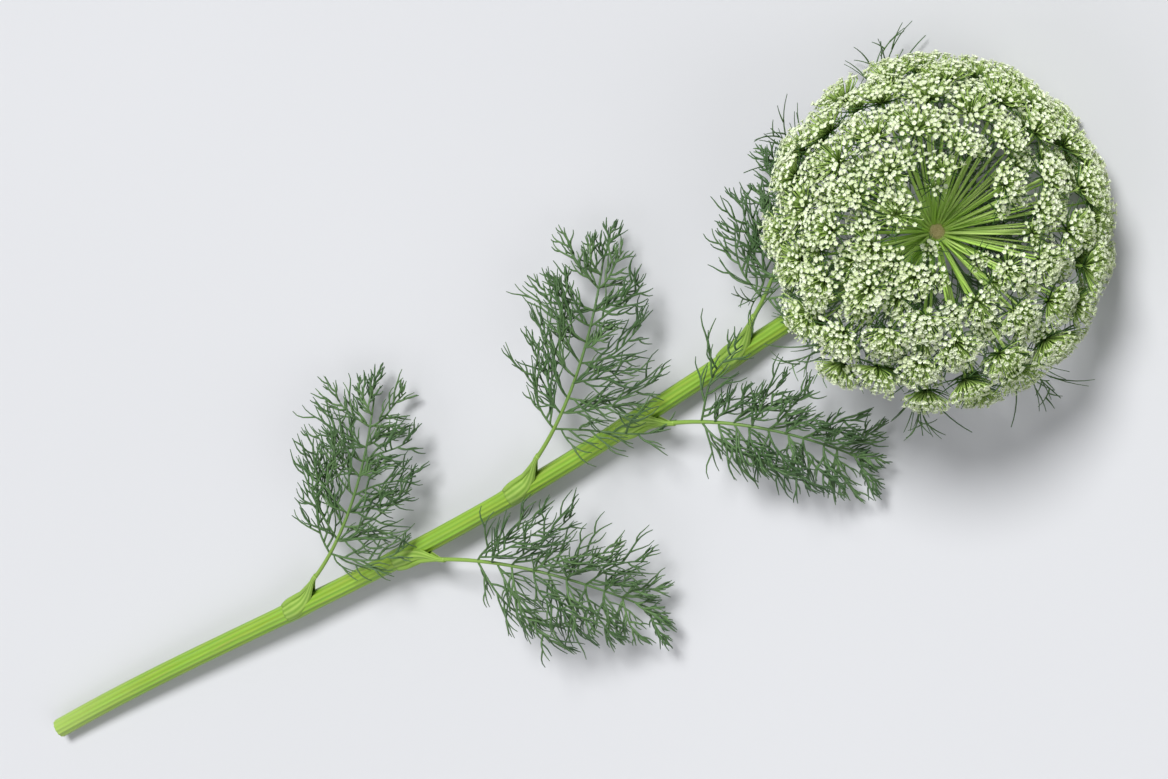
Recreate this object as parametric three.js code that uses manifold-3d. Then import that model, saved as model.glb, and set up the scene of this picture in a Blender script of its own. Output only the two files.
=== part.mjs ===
import * as THREE from "three";
import { mergeVertices } from "three/addons/utils/BufferGeometryUtils.js";
import Module from "manifold-3d";

// A cut stem of toothpick weed (Ammi visnaga) lying on a flat surface, its umbel turned up.
// Millimetres. +Z is up, and +Y runs from the cut end towards the umbel.

const degree = Math.PI / 180;
const goldenAngle = 137.508 * degree;
const seatGap = 0.3; // between a piece and what it grows on

const stem = {
  length: 512, // along its curve, from the cut end to the collar of bracts
  neckLength: 70, // the bent stretch under the umbel
  neckRise: 58 * degree, // how far the umbel's axis stands up from the surface
  bow: 2.4 * degree, // rise of the lying stem at its cut end
  sway: 3.2 * degree, // how far it wanders to the side
  radiusCut: 4.4,
  radiusTop: 3.7,
  nodeSwell: 0.3,
  ribs: 12,
  ribDepth: 0.32,
  slant: 16 * degree, // of the knife cut
  pressed: 0.12, // depth of the flat spot under the cut end
  steps: 128, // of the integration along its curve
  sections: 11, // of the lying stretch
  neckSections: 9,
};

const collar = { radius: 4.9, thickness: 1.9 };

const receptacle = { radius: 4.1, top: 1.7, bottom: 2.6, sides: 12 };

const umbel = {
  longRays: 64,
  shortRays: 5,
  startTurn: 190 * degree, // turns the rays so that three umbellets meet the surface evenly
  side: 66, // from the hub to the floret tops, straight out
  height: 54, // the same along the axis
  innerPolar: 25 * degree, // where the long rays begin, off the axis
  outerPolar: 94 * degree, // where they end, just under the rim
  rayRadius: 0.72,
  rayTipRadius: 0.58,
  raySpread: 6 * degree, // a ray leaves low and curves up by as much
  raySteps: 3,
  pressed: 0.9, // how far the lowest florets are flattened by the surface
};

const umbellet = {
  knobRadius: 1.15,
  knobRing: 1.7, // height of its widest ring over the end of the ray
  knobTop: 2.3,
  inner: { radius: 3.5, height: 7.8, floret: 1.8 },
  outer: { radius: 8, height: 5.8, floret: 2.6 },
  edge: { radius: 9.6, height: 3.8 }, // its outermost corners
  jitter: 0.4,
};

const bract = {
  count: 9,
  length: 76,
  shortLength: 36, // of those that the surface leaves little room
  radius: 0.62,
  forks: [0.48, 0.7], // where its lobes leave it
  lobeLength: 22,
  steps: 5,
};

// Threads of the leaves and bracts: how slim their roots and tips are, and how they settle.
const threadForm = { root: 0.5, tip: 0.36, aboveSurface: 1.1, settle: 1.3 };

// Where each leaf grows: distance from the cut end, side of the stem, angle from straight up,
// length, how its stalk opens away from the stem and how it rises and droops, in degrees.
const leaves = [
  { at: 392, side: -1, lean: 62, length: 84, open: [12, 62], tilt: [30, -34], pairs: 4 },
  { at: 338, side: 1, lean: 66, length: 98, open: [12, 66], tilt: [28, -34], pairs: 5 },
  { at: 278, side: -1, lean: 60, length: 108, open: [12, 60], tilt: [26, -30], pairs: 5 },
  { at: 214, side: 1, lean: 64, length: 112, open: [12, 62], tilt: [24, -30], pairs: 5 },
  { at: 152, side: -1, lean: 66, length: 104, open: [12, 66], tilt: [22, -28], pairs: 5 },
];

const leafForm = {
  stalkRadius: 1.15,
  stalkTip: 0.45,
  pairsFrom: 0.3, // shares of the stalk between which the side branches grow
  pairsTo: 0.88,
  branchShare: [0.4, 0.2], // length of the first and last branch, to the leaf's
  branchRadius: 0.62,
  branchOpens: 58 * degree,
  branchCloses: 30 * degree,
  branchDroops: -0.5,
  longBranch: 24, // a longer branch carries two lobes, a shorter one carries one
  lobeShare: 0.56,
  longestLobe: 18,
  lobeRadius: 0.54,
  lobeOpens: 46 * degree,
  lobeBends: 22 * degree,
  lobeDroops: -0.3,
};

const sheath = { length: 17, wrap: [104, 26], thickness: 1.2, edge: 0.65, across: 7, along: 5 };

const wasm = await Module();
wasm.setup();

// A repeatable draw between -0.5 and 0.5 for the whole numbers i and k.
function draw(i, k) {
  const value = Math.sin(i * 12.9898 + k * 78.233) * 43758.5453;
  return value - Math.floor(value) - 0.5;
}

function mix(from, to, t) {
  return from + (to - from) * t;
}

// A closed geometry from points and triangles that face outwards.
function closedGeometry(points, triangles) {
  const geometry = new THREE.BufferGeometry().setFromPoints(points);
  geometry.setIndex(triangles);
  return geometry;
}

// Two triangles for each side between two rings of n points.
function joinRings(triangles, lower, upper, n) {
  for (let k = 0; k < n; k++) {
    const next = (k + 1) % n;
    triangles.push(lower + k, lower + next, upper + next);
    triangles.push(lower + k, upper + next, upper + k);
  }
}

// Closes a ring by a zigzag between its two halves.
function closeRing(triangles, start, n, facing) {
  let left = 0;
  let right = n - 1;
  while (right - left > 1) {
    const first = [left, left + 1, right];
    left += 1;
    const second = right - left > 1 ? [left, right - 1, right] : null;
    if (second) right -= 1;
    for (const [a, b, c] of second ? [first, second] : [first]) {
      triangles.push(start + a, start + (facing > 0 ? b : c), start + (facing > 0 ? c : b));
    }
  }
}

// A closed skin over rings with equal numbers of points, ending flat or in the point tip.
function skin(rings, tip) {
  const n = rings[0].length;
  const points = rings.flat();
  const triangles = [];
  rings.slice(1).forEach((ring, j) => joinRings(triangles, j * n, (j + 1) * n, n));
  closeRing(triangles, 0, n, -1);
  const last = (rings.length - 1) * n;
  if (tip) {
    points.push(tip);
    for (let k = 0; k < n; k++) triangles.push(last + k, last + ((k + 1) % n), points.length - 1);
  } else {
    closeRing(triangles, last, n, 1);
  }
  return closedGeometry(points, triangles);
}

function solidOf(geometry) {
  const bare = geometry.clone();
  bare.deleteAttribute("normal");
  bare.deleteAttribute("uv");
  const merged = mergeVertices(bare, 1e-4);
  return new wasm.Manifold(
    new wasm.Mesh({
      numProp: 3,
      vertProperties: merged.attributes.position.array,
      triVerts: new Uint32Array(merged.index.array),
    }),
  );
}

// Joins closed geometries, and keeps the one body that they make, without loose scraps.
function fuse(geometries) {
  let whole = solidOf(geometries[0]);
  for (const geometry of geometries.slice(1)) whole = whole.add(solidOf(geometry));
  return mainBody(whole);
}

function mainBody(whole) {
  return whole.decompose().reduce((best, body) => (body.volume() > best.volume() ? body : best));
}

function geometryOf(solid) {
  const mesh = solid.getMesh();
  const geometry = new THREE.BufferGeometry();
  geometry.setAttribute("position", new THREE.BufferAttribute(mesh.vertProperties, 3));
  geometry.setIndex(new THREE.BufferAttribute(mesh.triVerts, 1));
  return geometry;
}

// Cuts away what reaches below the surface, so that it lies there on flat spots.
function flattenBelow(solid) {
  const block = new THREE.BoxGeometry(stem.length, 3 * stem.length, stem.length);
  block.translate(0, 0, -stem.length / 2);
  return mainBody(solid.subtract(solidOf(block)));
}

// The stem's centre line: its direction rises, dips and turns up by these angles, added up in steps.
function traceStem() {
  const step = stem.length / stem.steps;
  const lying = stem.length - stem.neckLength;
  const stations = [];
  const place = new THREE.Vector3(0, 0, stem.radiusCut - stem.pressed);
  for (let i = 0; i <= stem.steps; i++) {
    const s = i * step;
    const bend = THREE.MathUtils.smoothstep(s, lying, stem.length);
    const rise = stem.bow * Math.cos((Math.PI * Math.min(s, lying)) / lying);
    const tilt = mix(rise, stem.neckRise, bend);
    const turn = stem.sway * Math.sin((2 * Math.PI * s) / stem.length);
    const heading = new THREE.Vector3(
      Math.cos(tilt) * Math.sin(turn),
      Math.cos(tilt) * Math.cos(turn),
      Math.sin(tilt),
    );
    stations.push({ place: place.clone(), heading });
    place.addScaledVector(heading, step);
  }
  return stations;
}

const stemLine = traceStem();

// Place, heading, and the directions to the side (+X) and up, at the distance s from the cut end.
function stemAt(s) {
  const i = Math.min((s / stem.length) * stem.steps, stem.steps - 1e-6);
  const from = stemLine[Math.floor(i)];
  const to = stemLine[Math.floor(i) + 1];
  const t = i - Math.floor(i);
  const heading = from.heading.clone().lerp(to.heading, t).normalize();
  const side = new THREE.Vector3(1, 0, 0).addScaledVector(heading, -heading.x).normalize();
  return {
    place: from.place.clone().lerp(to.place, t),
    heading,
    side,
    up: new THREE.Vector3().crossVectors(side, heading),
  };
}

function stemRadius(s) {
  const swell = leaves.reduce((sum, leaf) => sum + Math.exp(-(((s - leaf.at) / 7) ** 2)), 0);
  return mix(stem.radiusCut, stem.radiusTop, s / stem.length) + stem.nodeSwell * swell;
}

// The point at an angle round a frame's heading, counted from up towards the side.
function around(frame, radius, angle, ahead = 0) {
  return frame.place
    .clone()
    .addScaledVector(frame.up, radius * Math.cos(angle))
    .addScaledVector(frame.side, radius * Math.sin(angle))
    .addScaledVector(frame.heading, ahead);
}

function buildStem() {
  const sides = 2 * stem.ribs;
  const rings = [];
  const lying = stem.length - stem.neckLength;
  for (let j = 0; j <= stem.sections + stem.neckSections; j++) {
    const onNeck = (j - stem.sections) / stem.neckSections;
    const s = onNeck > 0 ? lying + stem.neckLength * onNeck : (lying * j) / stem.sections;
    const frame = stemAt(s);
    const ring = [];
    for (let k = 0; k < sides; k++) {
      const angle = (2 * Math.PI * k) / sides;
      const radius = stemRadius(s) - (k % 2 ? stem.ribDepth : 0);
      const ahead = j === 0 ? radius * Math.cos(angle) * Math.tan(stem.slant) : 0;
      ring.push(around(frame, radius, angle, ahead));
    }
    rings.push(ring);
  }
  return geometryOf(flattenBelow(solidOf(skin(rings))));
}

// A thin tapered thread along points, with three or more sides. Its root is slim, so that it stays
// inside what it grows from, and its end is a point.
function thread(points, radius, tipRadius, sides = 3) {
  const curve = new THREE.CatmullRomCurve3(points);
  const first = curve.getTangent(0);
  const guide = Math.abs(first.z) < 0.8 ? new THREE.Vector3(0, 0, 1) : new THREE.Vector3(1, 0, 0);
  const rings = points.slice(0, -1).map((place, j) => {
    const t = j / (points.length - 1);
    const heading = curve.getTangent(t);
    const side = new THREE.Vector3().crossVectors(heading, guide).normalize();
    const frame = { place, heading, side, up: new THREE.Vector3().crossVectors(side, heading) };
    const thick = mix(radius, tipRadius, t) * (j === 0 ? threadForm.root : 1);
    const ring = [];
    for (let k = 0; k < sides; k++) ring.push(around(frame, thick, (2 * Math.PI * k) / sides));
    return ring;
  });
  return skin(rings, points[points.length - 1]);
}

// The hub frame: the umbel's centre and axis, one receptacle above the collar.
function hubFrame() {
  const top = stemAt(stem.length);
  const depth = 2 * seatGap + collar.thickness + receptacle.bottom;
  top.place.addScaledVector(top.heading, depth);
  return top;
}

const hub = hubFrame();

// The direction at a polar angle off the umbel's axis and a turn round it.
function fromHub(polar, turn) {
  return hub.heading
    .clone()
    .multiplyScalar(Math.cos(polar))
    .addScaledVector(hub.up, Math.sin(polar) * Math.cos(turn))
    .addScaledVector(hub.side, Math.sin(polar) * Math.sin(turn));
}

// Each ray's direction, length and size of umbellet. The long rays share the dome evenly, and the
// short ones stand round the bare centre.
function layRays() {
  const rays = [];
  for (let i = 0; i < umbel.longRays; i++) {
    const share = (i + 0.5) / umbel.longRays;
    const cosine = mix(Math.cos(umbel.innerPolar), Math.cos(umbel.outerPolar), share);
    const polar = Math.acos(cosine) + 2.4 * degree * draw(i, 1);
    const turn = umbel.startTurn + i * goldenAngle + 3 * degree * draw(i, 2);
    const dome = 1 / Math.hypot(Math.sin(polar) / umbel.side, Math.cos(polar) / umbel.height);
    const length = dome - umbellet.inner.height + 3 * draw(i, 3);
    rays.push({ polar, turn, length, root: mix(2.1, 3.4, share), scale: 1 + 0.08 * draw(i, 4) });
  }
  for (let i = 0; i < umbel.shortRays; i++) {
    const polar = (14 + 15 * ((i * 0.618) % 1)) * degree;
    const turn = (i + 0.5 + 0.5 * draw(i, 5)) * (360 / umbel.shortRays) * degree;
    const length = 27 + 12 * ((i * 0.382) % 1);
    rays.push({ polar, turn, length, root: 2.4, scale: 0.62 });
  }
  return rays;
}

// The curve of a ray from the receptacle to its umbellet. A ray that would dip below the surface is
// bent up until its umbellet lies on it, and keeps its length.
function rayCurve(ray) {
  const outward = fromHub(Math.PI / 2, ray.turn);
  const root = hub.place.clone().addScaledVector(outward, ray.root);
  const direction = fromHub(ray.polar, ray.turn);
  const end = hub.place.clone().addScaledVector(direction, ray.length);
  const { radius, height } = umbellet.edge;
  const flat = Math.hypot(direction.x, direction.y);
  const facing = fromHub(ray.polar - umbel.raySpread * Math.sin(ray.polar), ray.turn).z;
  const hanging = radius * Math.sqrt(1 - facing ** 2) - height * facing;
  const lowest = hanging * ray.scale - umbel.pressed;
  if (end.z < lowest) {
    const run = Math.sqrt(ray.length ** 2 - (hub.place.z - lowest) ** 2);
    end.set(hub.place.x + (direction.x / flat) * run, hub.place.y + (direction.y / flat) * run, lowest);
  }
  const low = ray.polar + umbel.raySpread * Math.sin(ray.polar);
  const away = fromHub(low, ray.turn);
  const middle = root.clone().addScaledVector(away, ray.length / 2);
  middle.z += (end.z - hub.place.z - direction.z * ray.length) / 2;
  return new THREE.QuadraticBezierCurve3(root, middle, end);
}

// Draws a facet of the knob out to a floret: three walls and a cap.
function drawOut(points, triangles, facet, centre, radius) {
  const middle = new THREE.Vector3();
  facet.forEach((index) => middle.addScaledVector(points[index], 1 / 3));
  const outward = centre.clone().sub(middle).normalize();
  const cap = facet.map((index) => {
    const arm = points[index].clone().sub(middle);
    arm.addScaledVector(outward, -arm.dot(outward)).setLength(radius);
    points.push(centre.clone().add(arm));
    return points.length - 1;
  });
  facet.forEach((index, k) => {
    const next = (k + 1) % 3;
    triangles.push(index, facet[next], cap[next]);
    triangles.push(index, cap[next], cap[k]);
  });
  triangles.push(...cap);
}

// One ray and its umbellet in one closed skin: a three-sided spoke that opens into a knob, whose
// six upper and nine lower facets are drawn out to florets.
function rayGeometry(ray, i) {
  const curve = rayCurve(ray);
  const points = [];
  const triangles = [];
  const frameAt = (t) => {
    const heading = curve.getTangent(t);
    const side = new THREE.Vector3().crossVectors(heading, fromHub(Math.PI / 2, ray.turn + 1));
    side.normalize();
    return { place: curve.getPoint(t), heading, side, up: side.clone().cross(heading) };
  };
  for (let j = 0; j <= umbel.raySteps; j++) {
    const t = j / umbel.raySteps;
    const radius = mix(umbel.rayRadius, umbel.rayTipRadius, t);
    for (let k = 0; k < 3; k++) points.push(around(frameAt(t), radius, (k * 2 * Math.PI) / 3));
    if (j > 0) joinRings(triangles, 3 * (j - 1), 3 * j, 3);
  }
  closeRing(triangles, 0, 3, -1);
  const end = frameAt(1);
  const stalk = 3 * umbel.raySteps;
  const ring = stalk + 3;
  for (let k = 0; k < 6; k++) {
    points.push(around(end, umbellet.knobRadius, (k * Math.PI) / 3, umbellet.knobRing));
  }
  const top = points.push(around(end, 0, 0, umbellet.knobTop)) - 1;
  const floret = (facet, place, turn, k) => {
    const shift = umbellet.jitter * draw(i, 10 + k);
    const radius = ray.scale * (place.radius + umbellet.jitter * draw(i, 30 + k));
    const centre = around(end, radius, turn, ray.scale * (place.height + shift));
    drawOut(points, triangles, facet, centre, ray.scale * place.floret);
  };
  for (let k = 0; k < 6; k++) {
    const turn = ((k + 0.5) * Math.PI) / 3;
    floret([ring + k, ring + ((k + 1) % 6), top], umbellet.inner, turn, k);
  }
  for (let m = 0; m < 3; m++) {
    const base = stalk + m;
    const before = ring + ((2 * m + 5) % 6);
    const here = ring + 2 * m;
    const after = ring + 2 * m + 1;
    const turn = (m * 2 * Math.PI) / 3;
    floret([base, here, before], umbellet.outer, turn - 20 * degree, 6 + m);
    floret([base, after, here], umbellet.outer, turn + 20 * degree, 9 + m);
    floret([base, stalk + ((m + 1) % 3), after], umbellet.outer, turn + 60 * degree, 12 + m);
  }
  return closedGeometry(points, triangles);
}

// The small domed disc that all rays start from.
function receptacleGeometry() {
  const { radius, top, bottom, sides } = receptacle;
  const profile = [
    new THREE.Vector2(0, -bottom),
    new THREE.Vector2(radius * 0.86, -bottom),
    new THREE.Vector2(radius, -bottom * 0.3),
    new THREE.Vector2(radius * 0.8, top * 0.7),
    new THREE.Vector2(0, top),
  ];
  return onHub(new THREE.LatheGeometry(profile, sides));
}

// Moves a geometry made round the Y axis onto the umbel's axis.
function onHub(geometry, shift = 0) {
  const upright = new THREE.Vector3(0, 1, 0);
  const turn = new THREE.Quaternion().setFromUnitVectors(upright, hub.heading);
  geometry.translate(0, shift, 0);
  geometry.applyQuaternion(turn);
  geometry.translate(hub.place.x, hub.place.y, hub.place.z);
  return geometry;
}

function buildUmbel() {
  const rays = layRays().map(rayGeometry);
  return geometryOf(flattenBelow(fuse([receptacleGeometry(), ...rays])));
}

// A point of a bract, in polar terms round the middle of the collar, kept above the surface.
function bractPoint(radius, polar, turn) {
  const drop = receptacle.bottom + seatGap + collar.thickness / 2;
  const point = hub.place.clone().addScaledVector(hub.heading, -drop);
  point.addScaledVector(fromHub(polar, turn), radius);
  point.z = Math.max(point.z, threadForm.aboveSurface);
  return point;
}

// A bract's polar angle: it hangs under the rays, and its end hooks up past the rim.
function bractPolar(radius) {
  const hang = 91 + 16 * THREE.MathUtils.smoothstep(radius, 4, 34);
  return (hang - 10 * THREE.MathUtils.smoothstep(radius, 64, 84)) * degree;
}

// One bract: a thread along the cone under the rays, with forked lobes to both sides.
function bractGeometries(i) {
  const turn = ((i + 0.5) * 2 * Math.PI) / bract.count + 0.2 * draw(i, 50);
  const underside = Math.cos(turn) < -0.7;
  const length = underside ? bract.shortLength : bract.length + 10 * draw(i, 51);
  const curl = 0.3 * draw(i, 52);
  const along = (t) => {
    const radius = mix(collar.radius - 1.6, length, t);
    return bractPoint(radius, bractPolar(radius), turn + curl * t * t);
  };
  const spine = [];
  for (let j = 0; j <= bract.steps; j++) spine.push(along(j / bract.steps));
  const threads = [thread(spine, bract.radius, threadForm.tip)];
  const forks = underside ? [] : bract.forks;
  forks.forEach((from, k) => {
    const side = (k + i) % 2 ? 1 : -1;
    const lobe = [0, 0.3, 1].map((t) => {
      const radius = mix(collar.radius, length, from) + bract.lobeLength * t;
      const spread = side * (0.17 * t + 0.09 * t * t);
      return bractPoint(radius, bractPolar(radius), turn + curl * from * from + spread);
    });
    threads.push(thread(lobe, bract.radius * 0.9, threadForm.tip));
  });
  return threads;
}

function buildBracts() {
  const { radius, thickness } = collar;
  const profile = [
    new THREE.Vector2(0, 0),
    new THREE.Vector2(radius * 0.84, 0),
    new THREE.Vector2(radius, thickness * 0.45),
    new THREE.Vector2(radius * 0.94, thickness),
    new THREE.Vector2(0, thickness),
  ];
  const disc = new THREE.LatheGeometry(profile, receptacle.sides);
  const parts = [onHub(disc, -receptacle.bottom - seatGap - thickness)];
  for (let i = 0; i < bract.count; i++) parts.push(...bractGeometries(i));
  return geometryOf(fuse(parts));
}

// A curve that starts at a point and bends evenly between two headings and two tilts, in radians.
// It settles on the surface where it would sink below it.
function sprig(start, length, headings, tilts, steps) {
  const points = [start.clone()];
  const place = start.clone();
  for (let j = 0; j < steps; j++) {
    const t = (j + 0.5) / steps;
    const heading = mix(headings[0], headings[1], t);
    const tilt = mix(tilts[0], tilts[1], t);
    const step = length / steps;
    place.x += step * Math.cos(tilt) * Math.sin(heading);
    place.y += step * Math.cos(tilt) * Math.cos(heading);
    place.z += step * Math.sin(tilt);
    const above = (place.z - threadForm.aboveSurface) / threadForm.settle;
    const height = threadForm.aboveSurface + threadForm.settle * Math.log(1 + Math.exp(above));
    points.push(new THREE.Vector3(place.x, place.y, height));
  }
  return points;
}

// The sheath that clasps the stem: a curved plate, widest at its foot.
function sheathGeometry(leaf) {
  const rings = [];
  for (let j = 0; j < sheath.along; j++) {
    const t = j / (sheath.along - 1);
    const s = leaf.at + mix(-0.25, 0.75, t) * sheath.length;
    const frame = stemAt(s);
    const inner = stemRadius(s) + seatGap;
    const half = mix(sheath.wrap[0], sheath.wrap[1], t) * degree;
    const outerSide = [];
    const innerSide = [];
    for (let k = 0; k < sheath.across; k++) {
      const v = (2 * k) / (sheath.across - 1) - 1;
      const angle = leaf.side * leaf.lean * degree + half * v;
      const thick = mix(sheath.thickness, sheath.edge, v * v);
      outerSide.push(around(frame, inner + thick, angle));
      innerSide.unshift(around(frame, inner + 0.06, angle));
    }
    rings.push([...outerSide, ...innerSide]);
  }
  return skin(rings);
}

// A leaf: clasping sheath, drooping stalk, paired side branches, and thread lobes on each branch.
function buildLeaf(leaf, number) {
  const foot = leaf.at + sheath.length * 0.45;
  const frame = stemAt(foot);
  const out = stemRadius(foot) + seatGap + leafForm.stalkRadius + 0.1;
  const start = around(frame, out, leaf.side * leaf.lean * degree);
  const ahead = Math.atan2(frame.heading.x, frame.heading.y);
  const headings = leaf.open.map((angle) => ahead + leaf.side * angle * degree);
  const tilts = leaf.tilt.map((angle) => angle * degree);
  const stalk = sprig(start, leaf.length, headings, tilts, 9);
  const line = new THREE.CatmullRomCurve3(stalk);
  const parts = [sheathGeometry(leaf), thread(stalk, leafForm.stalkRadius, leafForm.stalkTip, 4)];
  for (let j = 0; j < leaf.pairs; j++) {
    const share = j / (leaf.pairs - 1);
    const t = mix(leafForm.pairsFrom, leafForm.pairsTo, share);
    const heading = mix(headings[0], headings[1], t);
    const length = leaf.length * mix(leafForm.branchShare[0], leafForm.branchShare[1], share);
    for (const hand of [-1, 1]) {
      const seed = number * 100 + j * 10 + hand;
      parts.push(...branchGeometries(line.getPoint(t), heading, hand, length, seed));
    }
  }
  return geometryOf(fuse(parts));
}

// A side branch to one hand of the stalk, with forked lobes to alternate sides.
function branchGeometries(from, heading, hand, fullLength, seed) {
  const length = fullLength * (1 + 0.3 * draw(seed, 60));
  const opening = heading + hand * (leafForm.branchOpens + 16 * degree * draw(seed, 61));
  const closing = heading + hand * (leafForm.branchCloses + 40 * degree * draw(seed, 62));
  const tilt = (14 + 24 * draw(seed, 63)) * degree;
  const branch = sprig(from, length, [opening, closing], [tilt, leafForm.branchDroops], 3);
  const line = new THREE.CatmullRomCurve3(branch);
  const lobes = (length > leafForm.longBranch ? [0.34, 0.64] : [0.5]).map((t, k) => {
    const side = (k + seed) % 2 ? 1 : -1;
    const spread = leafForm.lobeOpens + 20 * degree * draw(seed, 70 + k);
    const away = mix(opening, closing, t) + side * spread;
    const longest = Math.min(length * leafForm.lobeShare, leafForm.longestLobe);
    const reach = longest * (1 + 0.4 * draw(seed, 75 + k));
    const rise = (10 + 50 * draw(seed, 80 + k)) * degree;
    const bent = away - side * leafForm.lobeBends;
    const lobe = sprig(line.getPoint(t), reach, [away, bent], [rise, leafForm.lobeDroops], 2);
    return thread(lobe, leafForm.lobeRadius, threadForm.tip);
  });
  return [thread(branch, leafForm.branchRadius, threadForm.tip), ...lobes];
}

function addMesh(group, name, geometry, colour, roughness) {
  const material = new THREE.MeshStandardMaterial({ color: colour, roughness, metalness: 0 });
  const mesh = new THREE.Mesh(geometry, material);
  mesh.name = name;
  group.add(mesh);
}

const plant = new THREE.Group();
addMesh(plant, "stem", buildStem(), 0x86b043, 0.5);
addMesh(plant, "bracts", buildBracts(), 0x47663f, 0.65);
addMesh(plant, "umbel", buildUmbel(), 0xc9d8ab, 0.75);
leaves.forEach((leaf, i) => addMesh(plant, `leaf_${i + 1}`, buildLeaf(leaf, i + 1), 0x35542f, 0.65));

// The origin is under the middle of the whole stem, on the surface that it lies on.
const bounds = new THREE.Box3().setFromObject(plant, true);
const centre = bounds.getCenter(new THREE.Vector3());
plant.position.set(-centre.x, -centre.y, -bounds.min.z);

const group = new THREE.Group();
group.add(plant);

export default group;
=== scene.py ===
import math
import bpy
import numpy as np
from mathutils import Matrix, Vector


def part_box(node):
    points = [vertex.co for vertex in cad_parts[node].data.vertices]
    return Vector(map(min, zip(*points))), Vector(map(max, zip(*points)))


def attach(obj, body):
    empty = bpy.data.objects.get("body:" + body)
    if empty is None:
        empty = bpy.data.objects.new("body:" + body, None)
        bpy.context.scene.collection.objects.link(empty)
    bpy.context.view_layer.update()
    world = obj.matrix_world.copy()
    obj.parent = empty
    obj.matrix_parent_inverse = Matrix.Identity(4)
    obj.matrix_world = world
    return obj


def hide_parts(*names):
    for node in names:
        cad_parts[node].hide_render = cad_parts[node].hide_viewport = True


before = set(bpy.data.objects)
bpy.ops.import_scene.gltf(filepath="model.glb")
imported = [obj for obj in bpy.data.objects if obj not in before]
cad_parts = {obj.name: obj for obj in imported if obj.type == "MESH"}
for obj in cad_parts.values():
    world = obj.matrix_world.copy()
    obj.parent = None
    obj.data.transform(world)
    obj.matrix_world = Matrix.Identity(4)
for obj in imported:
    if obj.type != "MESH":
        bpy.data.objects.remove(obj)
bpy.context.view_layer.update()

# A cut stem of toothpick weed lying on a pale surface, its umbel of white flowers turned up.
# Lengths are millimetres and angles degrees, in the plant's own frame: the cut end at the origin,
# +Y towards the umbel and +Z up. Each piece is moved onto the solids, in metres, as it is made.

goldenAngle = 137.508  # from one ray or flower to the next, as plants set them
seatGap = 0.3  # between a piece and what it grows on

stemForm = {
    "length": 512,  # along its curve, from the cut end to the collar of bracts
    "neckLength": 70,  # the bent stretch under the umbel
    "neckRise": 58,  # how far the umbel's axis stands up from the surface
    "bow": 2.4,  # rise of the lying stem at its cut end
    "sway": 3.2,  # how far it wanders to the side
    "radiusCut": 4.4,
    "radiusTop": 3.7,
    "nodeSwell": 0.3,  # where a leaf grows
    "nodeReach": 7,
    "ribs": 12,
    "ribDepth": 0.32,
    "slant": 16,  # of the knife cut
    "slantReach": 2,  # how far from the cut its slant has faded
    "pressed": 0.12,  # depth of the flat spot under the cut end
    "wornEdge": 0.955,  # the radius at both ends, to the stem's own
    "steps": 128,
    "rings": 220,
    "sides": 72,
    "pith": [0.3, 0.62, 0.82, 0.93, 0.985],  # rings of the cut face, as shares of its radius
    "pithSunk": 0.35,
}

# The leaves from the umbel down: where each grows, on which side and how far round from the top of
# the stem, its length, how it opens from the stem and tilts at its foot and tip, and its pairs.
leafRows = [
    {"at": 392, "side": -1, "lean": 62, "length": 84, "open": (12, 62), "tilt": (30, -34), "pairs": 4},
    {"at": 338, "side": 1, "lean": 66, "length": 98, "open": (12, 66), "tilt": (28, -34), "pairs": 5},
    {"at": 278, "side": -1, "lean": 60, "length": 108, "open": (12, 60), "tilt": (26, -30), "pairs": 5},
    {"at": 214, "side": 1, "lean": 64, "length": 112, "open": (12, 62), "tilt": (24, -30), "pairs": 5},
    {"at": 152, "side": -1, "lean": 66, "length": 104, "open": (12, 66), "tilt": (22, -28), "pairs": 5},
]


# The value at a share of the way from low to high: low + (high - low) * share.
def mix(low, high, share):
    return low + (high - low) * share


# 3t^2 - 2t^3, with t running from 0 at low to 1 at high.
def smooth(value, low, high):
    t = np.clip((value - low) / (high - low), 0, 1)
    return t * t * (3 - 2 * t)


# Keeps heights above a level by a soft corner: level + softness * log(1 + e^((z - level) / softness)).
def settle(heights, level, softness):
    return level + softness * np.logaddexp(0, (heights - level) / softness)


# A repeatable draw between -0.5 and 0.5 for number i of series k: the fraction left of a large sine
# of the two.
def draw(i, k):
    value = np.sin(np.asarray(i) * 12.9898 + np.asarray(k) * 78.233) * 43758.5453
    return value - np.floor(value) - 0.5


# Each vector divided by its own length.
def unit(vectors):
    return vectors / np.linalg.norm(vectors, axis=-1, keepdims=True)


# Each number times its vector.
def times(numbers, vectors):
    return np.asarray(numbers)[..., None] * vectors


# The stem's centre line: a direction whose tilt and turn follow a cosine, a smooth step and a sine,
# added up in equal steps.
def traceStem():
    step = stemForm["length"] / stemForm["steps"]
    along = step * np.arange(stemForm["steps"] + 1)
    lying = stemForm["length"] - stemForm["neckLength"]
    rise = stemForm["bow"] * np.cos(np.pi * np.minimum(along, lying) / lying)
    tilt = np.radians(mix(rise, stemForm["neckRise"], smooth(along, lying, stemForm["length"])))
    turn = np.radians(stemForm["sway"]) * np.sin(2 * np.pi * along / stemForm["length"])
    heading = np.stack([np.cos(tilt) * np.sin(turn), np.cos(tilt) * np.cos(turn), np.sin(tilt)], -1)
    start = np.array([0, 0, stemForm["radiusCut"] - stemForm["pressed"]])
    place = start + step * np.vstack([np.zeros(3), np.cumsum(heading[:-1], axis=0)])
    return along, place, heading


stemLine = traceStem()


# Place, heading, side and up of the stem at distances from its cut end, read off the line above.
def stemAt(s):
    along, places, headings = stemLine
    place = np.stack([np.interp(s, along, column) for column in places.T], -1)
    heading = unit(np.stack([np.interp(s, along, column) for column in headings.T], -1))
    side = unit(np.array([1.0, 0, 0]) - times(heading[..., 0], heading))
    return place, heading, side, np.cross(side, heading)


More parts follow.
